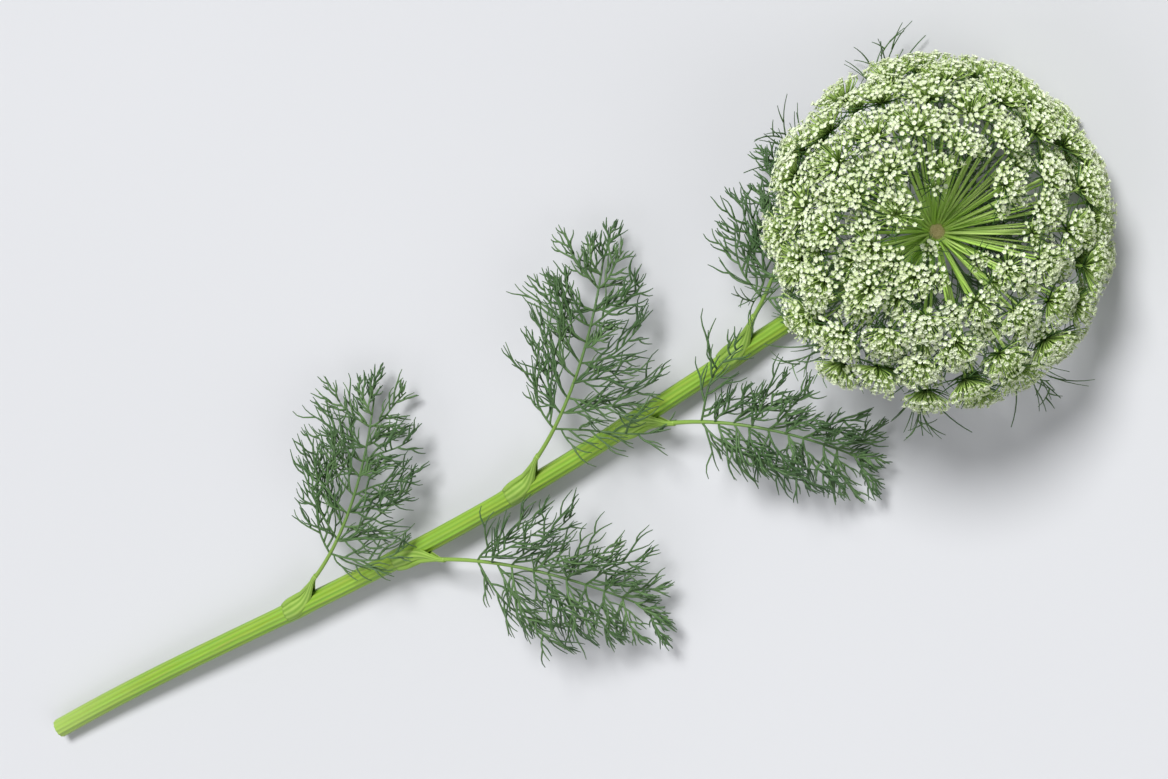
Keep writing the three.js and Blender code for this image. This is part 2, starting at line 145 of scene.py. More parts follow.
# The stem's radius: an even taper, with a bell-shaped swelling at each leaf.
def stemRadius(s):
    swell = sum(np.exp(-(((s - leaf["at"]) / stemForm["nodeReach"]) ** 2)) for leaf in leafRows)
    taper = mix(stemForm["radiusCut"], stemForm["radiusTop"], s / stemForm["length"])
    return taper + stemForm["nodeSwell"] * swell


# Skins for many lofts at once, from rings of shape (lofts, rings, sides, 3) whose sides turn
# anticlockwise about the way back to the root. A fan of triangles closes each end in a point.
def loft(rings, root, tip, marks):
    lofts, count, sides = rings.shape[:3]
    size = count * sides + 2
    points = np.concatenate([rings.reshape(lofts, -1, 3), root[:, None], tip[:, None]], axis=1)
    j = np.arange(count - 1)[:, None] * sides
    k = np.arange(sides)
    after = (k + 1) % sides
    quads = np.stack([j + k, j + sides + k, j + sides + after, j + after], -1).reshape(-1, 4)
    last = (count - 1) * sides
    rootFan = np.stack([0 * k + size - 2, k, after], -1)
    tipFan = np.stack([0 * k + size - 1, last + after, last + k], -1)
    fans = np.concatenate([rootFan, tipFan])
    shift = size * np.arange(lofts)[:, None, None]
    spread = {}
    for name, values in marks.items():  # one value for each ring, or for each point of a ring
        values = np.broadcast_to(np.asarray(values, float), (lofts, count))
        ends = np.stack([values[:, 0], values[:, -1]], -1)
        spread[name] = np.concatenate([np.repeat(values, sides, axis=1), ends], axis=1).ravel()
    return {
        "points": points.reshape(-1, 3),
        "quads": (quads + shift).reshape(-1, 4),
        "triangles": (fans + shift).reshape(-1, 3),
        "marks": spread,
    }


# Slim tubes along paths of shape (tubes, points, 3): each ring is radius * (cos a * side + sin a *
# up) square to its path, where side is the heading crossed with a fixed guide. The root is closed
# 0.4 of a radius before the first ring, and the tip 0.9 of a radius past the last.
def tubes(paths, radii, sides, guide, marks):
    heading = unit(np.gradient(paths, axis=1))
    side = unit(np.cross(heading, guide[:, None]))
    up = np.cross(side, heading)
    angle = 2 * np.pi * np.arange(sides) / sides
    spokes = times(np.cos(angle), side[:, :, None]) + times(np.sin(angle), up[:, :, None])
    rings = paths[:, :, None] + radii[:, :, None, None] * spokes
    root = paths[:, 0] - times(0.4 * radii[:, 0], heading[:, 0])
    tip = paths[:, -1] + times(0.9 * radii[:, -1], heading[:, -1])
    return loft(rings, root, tip, marks)


# Copies of a small closed form, given as points (copies, n, 3) in their own axes, triangles of one
# copy, and for each copy a place and three axes: place + x * first + y * second + z * third.
def copies(local, triangles, place, axes, marks):
    count, size = local.shape[:2]
    points = place[:, None] + np.einsum("cni,cij->cnj", local, axes)
    shift = size * np.arange(count)[:, None, None]
    spread = {name: np.broadcast_to(values, (count, size)).ravel() for name, values in marks.items()}
    return {
        "points": points.reshape(-1, 3),
        "quads": np.zeros((0, 4), int),
        "triangles": (triangles + shift).reshape(-1, 3),
        "marks": spread,
    }


# Several shapes as one: their points end to end, and the faces of each moved on by the points
# before it.
def gather(shapes):
    starts = np.cumsum([0] + [len(shape["points"]) for shape in shapes])

    def faces(kind):
        return np.concatenate([shape[kind] + start for shape, start in zip(shapes, starts)])

    names = shapes[0]["marks"]
    return {
        "points": np.concatenate([shape["points"] for shape in shapes]),
        "quads": faces("quads"),
        "triangles": faces("triangles"),
        "marks": {name: np.concatenate([shape["marks"][name] for shape in shapes]) for name in names},
    }


# A hex colour's sRGB channels made linear, c / 12.92 or ((c + 0.055) / 1.055)^2.4, with full alpha.
def colour(hexValue):
    channels = [int(hexValue[i : i + 2], 16) / 255 for i in (1, 3, 5)]
    return [c / 12.92 if c <= 0.04045 else ((c + 0.055) / 1.055) ** 2.4 for c in channels] + [1.0]


# Adds a node with its settings, and its inputs as values or as other nodes' outputs.
def addNode(tree, kind, settings, inputs):
    node = tree.nodes.new(kind)
    for name, value in settings.items():
        setattr(node, name, value)
    for name, value in inputs.items():
        if isinstance(value, bpy.types.NodeSocket):
            tree.links.new(value, node.inputs[name])
        else:
            node.inputs[name].default_value = value
    return node


# An empty material with its shader, and the shader's fixed values.
def startMaterial(name, values):
    material = bpy.data.materials.new(name)
    material.use_nodes = True
    tree = material.node_tree
    shader = tree.nodes["Principled BSDF"]
    for socket, value in values.items():
        shader.inputs[socket].default_value = value
    return material, tree, shader


# One colour blended into another by a share.
def blend(tree, share, first, second, kind="MIX"):
    inputs = {"Fac": share, "Color1": first, "Color2": second}
    return addNode(tree, "ShaderNodeMixRGB", {"blend_type": kind}, inputs).outputs["Color"]


# One value times another.
def multiply(tree, first, second):
    node = addNode(tree, "ShaderNodeMath", {"operation": "MULTIPLY"}, {0: first, 1: second})
    return node.outputs["Value"]


# A value carried evenly from one range to another, and kept inside it.
def carry(tree, value, start, end):
    ends = zip(["From Min", "From Max", "To Min", "To Max"], [*start, *end])
    return addNode(tree, "ShaderNodeMapRange", {}, {"Value": value, **dict(ends)}).outputs["Result"]


# The marks of a mesh, such as how far along a part its points lie.
def readMarks(tree, names):
    nodes = [addNode(tree, "ShaderNodeAttribute", {"attribute_name": name}, {}) for name in names]
    return [node.outputs["Fac"] for node in nodes]


# Places on a mesh, in metres.
def readPlace(tree):
    return addNode(tree, "ShaderNodeTexCoord", {}, {}).outputs["Object"]


# Soft clouds, so many to the metre.
def addNoise(tree, place, scale, detail):
    return addNode(tree, "ShaderNodeTexNoise", {}, {"Vector": place, "Scale": scale, "Detail": detail})


# Raises a shader's surface with a height, by up to a distance in metres.
def addBump(tree, shader, height, strength, distance):
    inputs = {"Height": height, "Strength": strength, "Distance": distance}
    bump = addNode(tree, "ShaderNodeBump", {}, inputs)
    tree.links.new(bump.outputs["Normal"], shader.inputs["Normal"])


# Moves the plant onto the solids: its side and top end meet those of the stem's solid.
def findShift(ownStem):
    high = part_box("stem")[1]
    own = ownStem.max(axis=0)
    return np.array([high.x * 1000 - own[0], high.y * 1000 - own[1], 0])


# Makes one piece of the plant, which rides on its body and stands for a node of the solids. Thin
# blades are left faceted, because smooth shading would round them over their edges.
def makePiece(name, node, shape, material, faceted=False):
    points = shape["points"] + shift
    points[:, 2] = np.maximum(points[:, 2], 0)  # pressed flat where it lies on the surface
    mesh = bpy.data.meshes.new(name)
    mesh.from_pydata(points / 1000, [], shape["quads"].tolist() + shape["triangles"].tolist())
    for mark, values in shape["marks"].items():
        mesh.attributes.new(mark, "FLOAT", "POINT").data.foreach_set("value", values)
    if not faceted:
        mesh.shade_smooth()
    mesh.materials.append(material)
    piece = bpy.data.objects.new(name, mesh)
    bpy.context.scene.collection.objects.link(piece)
    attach(piece, "root")
    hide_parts(node)
    print(name, 2 * len(shape["quads"]) + len(shape["triangles"]), "triangles")
    return piece


# The stem: rings round its line whose radius dips by a cosine between the ribs. The cut end is a
# slanted face, ahead by the radius times the cosine, that sinks as a square root towards the pith.
def stemShape():
    form = stemForm
    end = form["length"]
    angle = -2 * np.pi * np.arange(form["sides"]) / form["sides"]
    s = np.concatenate([[0, 0.25], np.linspace(0.8, end - 0.5, form["rings"]), [end]])
    shrink = np.ones_like(s)
    shrink[[0, -1]] = form["wornEdge"]
    dip = 0.5 * form["ribDepth"] * (1 - np.cos(form["ribs"] * angle))
    radius = (stemRadius(s)[:, None] - dip) * shrink[:, None]
    slanted = np.cos(angle) * math.tan(math.radians(form["slant"]))
    ahead = radius * slanted * np.exp(-s / form["slantReach"])[:, None]
    pith = np.array(form["pith"])[:, None]
    cutRadius = radius[0] * pith
    cutAhead = cutRadius * slanted + form["pithSunk"] * (1 - pith) ** 0.5
    radius = np.concatenate([cutRadius, radius])
    ahead = np.concatenate([cutAhead, ahead])
    place, heading, side, up = stemAt(np.concatenate([0 * pith[:, 0], s]))
    rings = place[:, None] + times(ahead, heading[:, None])
    rings = rings + times(radius * np.cos(angle), up[:, None])
    rings = rings + times(radius * np.sin(angle), side[:, None])
    cut = np.concatenate([1 - pith[:, 0] ** 8, 0 * s])
    shape = loft(rings[None], rings[0].mean(axis=0)[None], stemAt(end)[0][None], {"cut": cut})
    # A mark from 0 in the grooves to 1 on the ribs, which carries the stem's painted highlight and
    # shade.
    ridge = np.tile(0.5 + 0.5 * np.cos(form["ribs"] * angle), len(cut))
    shape["marks"]["ridge"] = np.concatenate([ridge, [0.5, 0.5]])
    along = np.concatenate([0 * pith[:, 0], s / end])
    shape["marks"]["along"] = np.concatenate([np.repeat(along, form["sides"]), [0, 1]])
    return shape


stemLook = {
    # painted highlight on the ribs, and painted shade in the grooves between them
    "ribs": "#8fb040",
    "grooves": "#76982c",
    "patches": "#6f9a2b",
    "patchShare": 0.45,
    "foot": "#a9bf68",  # near the cut end
    "footFrom": 0.12,  # share of the stem
    "pith": "#dfe6bd",
    "stripeScale": 1100.0,  # stripes 0.9 mm wide
    "stripeStretch": 0.03,  # that run for some 30 mm
    "patchScale": 80.0,  # patches 12 mm across
    "roughness": 0.42,
}


# A fresh green stem with a thin wax skin, softly ribbed: a painted highlight of bright yellow-green
# on the ribs and painted shade of deeper green between them, with fine stripes along it and a pale
# moist pith where it was cut. The wax gives it a soft gloss.
def stemMaterial():
    look = stemLook
    values = {"Roughness": look["roughness"], "IOR": 1.45}
    material, tree, shader = startMaterial("freshGreenStem", values)
    ridge, along, cut = readMarks(tree, ["ridge", "along", "cut"])
    place = readPlace(tree)
    stretch = {"Vector": place, "Scale": (1, look["stripeStretch"], 1)}
    stretched = addNode(tree, "ShaderNodeMapping", {}, stretch).outputs["Vector"]
    stripes = addNoise(tree, stretched, look["stripeScale"], 3.0).outputs
    patches = addNoise(tree, place, look["patchScale"], 2.0).outputs
    # Painted shade in the grooves and painted highlight on the ribs, by the ridge mark.
    green = blend(tree, ridge, colour(look["grooves"]), colour(look["ribs"]))
    striped = blend(tree, 0.5, green, stripes["Color"], "SOFT_LIGHT")
    patchShare = multiply(tree, patches["Fac"], look["patchShare"])
    patched = blend(tree, patchShare, striped, colour(look["patches"]))
    footShare = carry(tree, along, (look["footFrom"], 0.0), (0.0, 0.5))
    footed = blend(tree, footShare, patched, colour(look["foot"]))
    whole = blend(tree, cut, footed, colour(look["pith"]))
    tree.links.new(whole, shader.inputs["Base Color"])
    addBump(tree, shader, stripes["Fac"], 0.35, 0.0002)
    return material


receptacleForm = {"radius": 4.1, "top": 1.7, "bottom": 2.6, "sides": 48}
collarForm = {"radius": 4.9, "thickness": 1.9, "sides": 48}

umbelForm = {
    "longRays": 64,
    "shortRays": 5,
    "startTurn": 190,
    "side": 66,  # from the hub to the flower tops, straight out
    "height": 54,  # the same along the axis
    "innerPolar": 25,  # where the long rays begin, off the axis
    "outerPolar": 94,  # where they end, just under the rim
    "polarDraw": 2.4,  # how unevenly they stand, off the axis and round it
    "turnDraw": 3,
    "lengthUnderTop": 7.8,  # from the end of a ray to the flower tops
    "lengthDraw": 3,
    "root": (2.5, 3.5),  # how far from the axis the first and the last leave the receptacle
    "raySpread": 6,  # a ray leaves low and curves up by as much
    "edgeRadius": 9.6,  # of an umbellet, for how low it may hang
    "edgeHeight": 3.8,
    "pressed": 0.9,
    "betweenLower": 4.2,  # how far the slighter rays between them stay under the flower tops
    "betweenScale": 0.8,  # of their umbellets
    "scaleDraw": 0.08,
    "innerScale": 0.8,  # of the umbellets round the bare centre
    "outerScale": 1.03,
    "innerShare": 0.3,  # of the dome, over which the one grows into the other
    "shortPolar": (26, 31),  # the short rays, from the least to the most
    "shortLength": (27, 39),
    "shortRoot": 2.7,
    "shortScale": 0.52,
    "rayRadius": 0.45,
    "rayTip": 0.4,
    "slightRay": 0.78,  # of the slighter rays, to the others
    "slightScales": (0.95, 0.85),  # umbellets over whose sizes a ray turns into a slighter one
    "rayFoot": 0.38,  # swelling where it grows out of the receptacle
    "footReach": 5,
    "knob": 0.55,  # swelling that the pedicels grow from
    "knobFrom": 0.955,  # share of the ray
    "knobReach": 0.7,  # past the end of the ray
    "rings": 13,
    "sides": 8,
}


# The umbel's centre and axes, one receptacle above the collar.
def hubFrame():
    place, heading, side, up = stemAt(stemForm["length"])
    depth = 2 * seatGap + collarForm["thickness"] + receptacleForm["bottom"]
    return place + depth * heading, heading, side, up


hub, hubHeading, hubSide, hubUp = hubFrame()


# Directions at polar angles p off the umbel's axis and turns a round it, in radians: cos p * heading
# + sin p * (cos a * up + sin a * side).
def fromHub(polar, turn):
    away = times(np.cos(turn), hubUp) + times(np.sin(turn), hubSide)
    return times(np.cos(polar), hubHeading) + times(np.sin(polar), away)


# Direction, length, root and size of each ray. The long ones share the dome evenly, by equal steps
# of the cosine and a golden angle, and a slighter one stands half a step on from each. The dome
# reaches 1 / hypot(sin p / side, cos p / height). The short rays ring the bare centre.
def layRays():
    form = umbelForm
    i = np.concatenate([np.arange(form["longRays"]), np.arange(0.5, form["longRays"] - 1)])
    between = i % 1 > 0
    share = (i + 0.5) / form["longRays"]
    ends = np.cos(np.radians([form["innerPolar"], form["outerPolar"]]))
    polar = np.arccos(mix(ends[0], ends[1], share)) + np.radians(form["polarDraw"]) * draw(i, 1)
    turn = np.radians(form["startTurn"] + i * goldenAngle + form["turnDraw"] * draw(i, 2))
    dome = 1 / np.hypot(np.sin(polar) / form["side"], np.cos(polar) / form["height"])
    length = dome - form["lengthUnderTop"] + form["lengthDraw"] * draw(i, 3)
    length = length - form["betweenLower"] * between
    scale = np.where(between, form["betweenScale"], 1) * (1 + form["scaleDraw"] * draw(i, 4))
    grown = smooth(share, 0, form["innerShare"])
    scale = scale * mix(form["innerScale"], form["outerScale"], grown)
    m = np.arange(form["shortRays"])
    shortPolar = np.radians(mix(*form["shortPolar"], (m * 0.618) % 1))
    shortTurn = np.radians((m + 0.5 + 0.5 * draw(m, 5)) * 360 / len(m))
    return {
        "polar": np.concatenate([polar, shortPolar]),
        "turn": np.concatenate([turn, shortTurn]),
        "length": np.concatenate([length, mix(*form["shortLength"], (m * 0.382) % 1)]),
        "root": np.concatenate([mix(*form["root"], share), np.full(len(m), form["shortRoot"])]),
        "scale": np.concatenate([scale, np.full(len(m), form["shortScale"])]),
        "short": np.arange(len(i) + len(m)) >= len(i),
    }


# Root, middle and end of each ray's curve, (1-t)^2 root + 2t(1-t) middle + t^2 end. A ray that would
# dip below the surface is bent up until its umbellet lies on it, and keeps its length.
def rayPoints(rays):
    polar, turn, length = rays["polar"], rays["turn"], rays["length"]
    root = hub + times(rays["root"], fromHub(np.pi / 2 + 0 * turn, turn))
    direction = fromHub(polar, turn)
    end = hub + times(length, direction)
    spread = np.radians(umbelForm["raySpread"]) * np.sin(polar)
    facing = fromHub(polar - spread, turn)[:, 2]
    hanging = umbelForm["edgeRadius"] * np.sqrt(1 - facing**2) - umbelForm["edgeHeight"] * facing
    lowest = hanging * rays["scale"] - umbelForm["pressed"]
    fall = np.maximum(length**2 - (hub[2] - lowest) ** 2, 0)
    run = np.sqrt(fall) / np.hypot(direction[:, 0], direction[:, 1])
    laid = np.stack([hub[0] + direction[:, 0] * run, hub[1] + direction[:, 1] * run, lowest], -1)
    end = np.where((end[:, 2] < lowest)[:, None], laid, end)
    middle = root + times(length / 2, fromHub(polar + spread, turn))
    middle[:, 2] += (end[:, 2] - hub[2] - direction[:, 2] * length) / 2
    return root, middle, end


# Many such curves at once, each at the same shares t: (1-t)^2 first + 2t(1-t) middle + t^2 last.
def bezier(first, middle, last, t):
    t = t[:, None]
    start = (1 - t) ** 2 * first[:, None]
    return start + 2 * t * (1 - t) * middle[:, None] + t * t * last[:, None]


rays = layRays()
rayRoot, rayMiddle, rayEnd = rayPoints(rays)
rayHeading = unit(rayEnd - rayMiddle)
raySide = unit(np.cross(rayHeading, fromHub(np.pi / 2 + 0 * rays["turn"], rays["turn"] + 1)))
rayUp = np.cross(raySide, rayHeading)


# Rays: tubes along their curves that taper evenly, swollen by e^(-distance / reach) at the foot and
# by a smooth step in a short knob at the end.
def rayShape():
    form = umbelForm
    t = np.linspace(0, 1, form["rings"]) ** 0.9
    t[-3:-1] = [0.95, 0.985]  # a ray stays slim up to its knob
    knobEnd = rayEnd + times(form["knobReach"] * rays["scale"], rayHeading)
    paths = bezier(rayRoot, rayMiddle, knobEnd, t)
    along = rays["length"][:, None] * t
    slight = smooth(rays["scale"], *form["slightScales"])[:, None]
    radii = mix(form["rayRadius"], form["rayTip"], t) * mix(1, form["slightRay"], slight)
    radii = radii + form["rayFoot"] * np.exp(-along / form["footReach"])
    radii = radii + form["knob"] * rays["scale"][:, None] * smooth(t, form["knobFrom"], 1.0)
    guide = fromHub(np.pi / 2 + 0 * rays["turn"], rays["turn"] + np.pi / 2)
    pick = draw(np.arange(len(along)), 7)[:, None] + 0.5
    return tubes(paths, radii, form["sides"], guide, {"along": t, "pick": pick})


# A lathe turned round the umbel's axis: rings of a profile of radii and heights.
def onAxis(radii, heights, sides, marks):
    angle = -2 * np.pi * np.arange(sides) / sides
    around = times(np.cos(angle), hubUp) + times(np.sin(angle), hubSide)
    rings = hub + times(heights, hubHeading)[:, None] + times(radii, around[:, None]).transpose(1, 0, 2)
    root = hub + heights[0] * hubHeading
    tip = hub + heights[-1] * hubHeading
    return loft(rings[None], root[None], tip[None], marks)


# The receptacle: a low dome, radius * cos^0.6 at heights of top * sin above and bottom * sin below.
def receptacleShape():
    form = receptacleForm
    turn = np.linspace(-0.5 * np.pi, 0.5 * np.pi, 22)[1:-1]
    radii = form["radius"] * np.cos(turn) ** 0.6
    heights = np.where(turn > 0, form["top"], form["bottom"]) * np.sin(turn)
    centre = smooth(heights, 0.55 * form["top"], 1.0 * form["top"])
    return onAxis(radii, heights, form["sides"], {"centre": centre})


# The umbellets' flowers, laid on a nearly flat dome over the end of each ray.
flowerForm = {
    "perUmbellet": 68,
    "radius": 9.1,  # of the dome that the flowers stand on
    "spreadRange": 0.24,  # of that radius, from one umbellet to the next
    "shortSpread": 0.8,  # of the short rays' umbellets, to the others
    "uneven": (0.11, 0.08),  # two and three waves round the rim
    "crown": 7.7,  # height of the middle flowers over the end of the ray
    "drop": 1.9,  # how much lower the outer ones stand
    "wander": 0.7,
    "lean": 0.45,  # how far the outer flowers face outwards
    "leanDraw": 0.17,
    "tilt": 0.34,  # of an umbellet off its ray, from one side to the other
    "size": 0.98,  # from the middle of a flower to the tips of its petals
    "sizeDraw": 0.13,
    "sizeLimits": (0.5, 1.25),
    "neck": 1.05,  # depth of the ovary under the petals
    "lowest": 1.1,  # above the surface
    "budSize": 0.6,
    "buds": 0.05,  # share of the flowers still in bud
    "shortBuds": 0.1,  # the same on the short rays
    "middleBuds": 0.4,  # more of the middle fifth of an umbellet
    "youngBuds": 0.2,  # more on one umbellet in four
}

# A petal, as shares of its length: out from the middle of the flower, sideways and up. It is
# heart-shaped, with its notched tip turned in.
petalForm = {
    "outline": [
        (0, 0, 0),
        (0.5, -0.42, 0.1),
        (0.94, -0.38, 0.28),
        (0.74, 0, 0.32),
        (0.94, 0.38, 0.28),
        (0.5, 0.42, 0.1),
    ],
    "upperSide": [(0, 1, 5), (1, 3, 5), (1, 2, 3), (3, 4, 5)],
    "back": (0.58, 0, -0.04),
    "count": 5,
    "from": 0.1,  # from the flower's axis
    "openRise": 25,
    "riseDraw": 9,
    "budRise": 74,
}


# Where each flower stands, and its axes, size and stage. Flower k of n on an umbellet is at the
# golden angle times k and at share^0.54 of the radius, on a dome that falls with that share.
def layFlowers(rng):
    form = flowerForm
    scale = rays["scale"]
    count = np.round(form["perUmbellet"] * scale**2).astype(int)
    number = np.arange(len(count))
    ray = np.repeat(number, count)
    order = np.arange(count.sum()) - np.repeat(np.cumsum(count) - count, count)
    share = (order + 0.5) / count[ray]
    phase = rng.uniform(0, 2 * np.pi, len(count))[ray]
    angle = np.radians(goldenAngle) * order + phase
    two, three = form["uneven"]
    uneven = 1 + two * np.sin(2 * angle + 3 * phase) + three * np.sin(3 * angle + phase)
    full = form["radius"] * (1 + form["spreadRange"] * draw(ray, 22))
    full = full * np.where(rays["short"][ray], form["shortSpread"], 1)
    radius = full * share**0.54 * uneven + form["wander"] * rng.normal(size=len(ray))
    height = form["crown"] - form["drop"] * share + 0.7 * form["wander"] * rng.normal(size=len(ray))

    tilted = times(draw(number, 20), rayUp) + times(draw(number, 21), raySide)
    facing = unit(rayHeading + form["tilt"] * tilted)[ray]
    outward = times(np.cos(angle), rayUp[ray]) + times(np.sin(angle), raySide[ray])
    outward = unit(outward - times((outward * facing).sum(axis=1), facing))
    place = rayEnd[ray] + times(scale[ray] * radius, outward) + times(scale[ray] * height, facing)
    place[:, 2] = settle(place[:, 2], form["lowest"], 0.5)
    leaning = facing + times(form["lean"] * np.sqrt(share), outward)
    axis = unit(leaning + form["leanDraw"] * rng.normal(size=place.shape))
    side = unit(np.cross(axis, rng.normal(size=place.shape)))

    buds = np.where(rays["short"][ray], form["shortBuds"], form["buds"])
    buds = buds + form["middleBuds"] * (share < 0.2) + form["youngBuds"] * (draw(ray, 8) > 0.25)
    bud = rng.random(len(ray)) < buds
    size = np.where(bud, form["budSize"], form["size"])
    size = size * (1 + form["sizeDraw"] * rng.normal(size=len(ray)))
    openRise = petalForm["openRise"] + petalForm["riseDraw"] * rng.normal(size=len(ray))
    return {
        "ray": ray,
        "share": share,
        "outward": outward,
        "place": place,
        "axes": np.stack([side, np.cross(axis, side), axis], axis=1),
        "size": np.clip(size, *form["sizeLimits"]),
        "rise": np.radians(np.where(bud, petalForm["budRise"], openRise)),
        "bud": bud,
        "pick": rng.random(len(ray)),
    }


flowers = layFlowers(np.random.default_rng(11))


# Petals: each is a closed lens, raised about its foot, out * cos r - up * sin r and out * sin r + up
# * cos r, and then turned the same way to its place round the flower.
def petalShape(chosen):
    form = petalForm
    points = np.array(form["outline"] + [form["back"]], float)
    edge = len(form["outline"])
    k = np.arange(edge)
    lens = np.concatenate([form["upperSide"], np.stack([0 * k + edge, (k + 1) % edge, k], -1)])
    rise = flowers["rise"][chosen][:, None, None]
    out = points[:, 0] * np.cos(rise) - points[:, 2] * np.sin(rise) + form["from"]
    up = points[:, 0] * np.sin(rise) + points[:, 2] * np.cos(rise)
    turn = (2 * np.pi * np.arange(form["count"]) / form["count"])[None, :, None]
    x = out * np.cos(turn) - points[:, 1] * np.sin(turn)
    y = out * np.sin(turn) + points[:, 1] * np.cos(turn)
    local = np.stack([x, y, np.broadcast_to(up, x.shape)], -1).reshape(len(rise), -1, 3)
    local = local * flowers["size"][chosen][:, None, None]
    petals = (lens + len(points) * np.arange(form["count"])[:, None, None]).reshape(-1, 3)
    marks = {
        "along": np.tile(points[:, 0], form["count"]),
        "pick": flowers["pick"][chosen][:, None],
        "bud": flowers["bud"][chosen][:, None],
    }
    return copies(local, petals, flowers["place"][chosen], flowers["axes"][chosen], marks)


# An ovary, as shares of its flower's size, with the domed green centre of the flower on top.
ovaryForm = {
    "belly": 0.4,
    "bellyDepth": 0.55,  # share of the neck's
    "rim": 0.3,
    "rimHeight": 0.06,
    "domeHeight": 0.2,
    "foot": 0.08,  # how far it reaches into the pedicel
    "sides": 4,
}


# Ovaries: small pear-shaped rings under the petals, size * radius * (cos a * y + sin a * x) about the
# flower's axis, closed above by the centre.
def ovaryShape():
    form = ovaryForm
    neck = flowerForm["neck"]
    profile = np.array([(form["belly"], -form["bellyDepth"] * neck), (form["rim"], form["rimHeight"])])
    angle = 2 * np.pi * np.arange(form["sides"]) / form["sides"]
    axes = flowers["axes"]
    size = flowers["size"]
    ring = times(np.cos(angle), axes[:, None, 1]) + times(np.sin(angle), axes[:, None, 0])
    rings = flowers["place"][:, None, None] + np.einsum("f,r,fsx->frsx", size, profile[:, 0], ring)
    rings = rings + np.einsum("f,r,fx->frx", size, profile[:, 1], axes[:, 2])[:, :, None]
    root = flowers["place"] - times((neck + form["foot"]) * size, axes[:, 2])
    tip = flowers["place"] + times(form["domeHeight"] * size, axes[:, 2])
    return loft(rings, root, tip, {"along": np.array([0.1, 1]), "pick": flowers["pick"][:, None]})


pedicelForm = {
    "radii": [0.3, 0.23, 0.24],  # at its root, in the middle and under the ovary
    "bend": 0.09,  # outwards, share of its length
    "spread": 0.6,  # of the roots of an umbellet over its knob
    "sides": 3,
}


# Pedicels: thin tubes in shallow curves from the knob of each ray to the foot of each ovary.
def pedicelShape():
    form = pedicelForm
    ray = flowers["ray"]
    scale = rays["scale"][ray]
    outward = flowers["outward"]
    start = rayEnd[ray] + times(umbelForm["knobReach"] * scale, rayHeading[ray])
    start = start + times(form["spread"] * scale * flowers["share"], outward)
    end = flowers["place"] - times(flowerForm["neck"] * flowers["size"], flowers["axes"][:, 2])
    bend = form["bend"] * np.linalg.norm(end - start, axis=-1)
    t = np.linspace(0, 1, len(form["radii"]))
    paths = bezier(start, mix(start, end, 0.5) + times(bend, outward), end, t)
    radii = np.broadcast_to(np.array(form["radii"]), paths.shape[:2])
    marks = {"along": t, "pick": flowers["pick"][:, None]}
    return tubes(paths, radii, form["sides"], np.cross(rayHeading[ray], outward), marks)


# A stamen, as shares of its flower's size.
stamenForm = {
    "share": 0.12,  # of the open flowers that show theirs
    "count": 5,
    "root": (0.22, 0.1),  # how far out and how high its filament starts
    "thickness": 0.07,
    "reach": 0.98,
    "rise": 0.62,
    "anther": 0.17,
}


# Stamens between the petals: a slim four-faced filament that leans out, and an anther of six faces,
# two cones on a ring of three, on its end.
def stamenShape(rng):
    form = stamenForm
    chosen = np.flatnonzero(~flowers["bud"] & (rng.random(len(flowers["bud"])) < form["share"]))
    (out, low), reach, rise = form["root"], form["reach"], form["rise"]
    thick, anther, count = form["thickness"], form["anther"], form["count"]
    spike = [(out, -thick, low), (out, thick, low), (out, 0, low + 2 * thick), (reach, 0, rise)]
    head = [(reach - anther, 0, rise), (reach + anther, 0, rise + 0.04)]
    turns = 2 * np.pi * np.arange(3) / 3
    waist = [(reach, anther * math.cos(a), rise + anther * math.sin(a)) for a in turns]
    points = np.array(spike + head + waist)
    faces = [(0, 2, 1), (0, 1, 3), (1, 2, 3), (2, 0, 3)]
    faces += [(4, 6 + (m + 1) % 3, 6 + m) for m in range(3)]
    faces += [(5, 6 + m, 6 + (m + 1) % 3) for m in range(3)]
    turn = (2 * np.pi * (np.arange(count) + 0.5) / count)[:, None]
    x = points[:, 0] * np.cos(turn) - points[:, 1] * np.sin(turn)
    y = points[:, 0] * np.sin(turn) + points[:, 1] * np.cos(turn)
    one = np.stack([x, y, np.broadcast_to(points[:, 2], x.shape)], -1).reshape(-1, 3)
    triangles = (np.array(faces) + len(points) * np.arange(count)[:, None, None]).reshape(-1, 3)
    local = one * flowers["size"][chosen][:, None, None]
    marks = {"anther": np.tile([0.0] * len(spike) + [1.0] * 5, count)}
    return copies(local, triangles, flowers["place"][chosen], flowers["axes"][chosen], marks)


bractletForm = {
    "perRay": 11,
    "turnDraw": 0.7,  # of the step from one to the next
    "reach": (8.0, 13.5),  # the shortest and the longest
    "lift": (2.5, 5.5),
    "curl": 2.2,  # to either side
    "root": 0.42,
    "tip": 0.14,
    "aboveSurface": 0.35,
    "points": 5,
    "sides": 3,
}


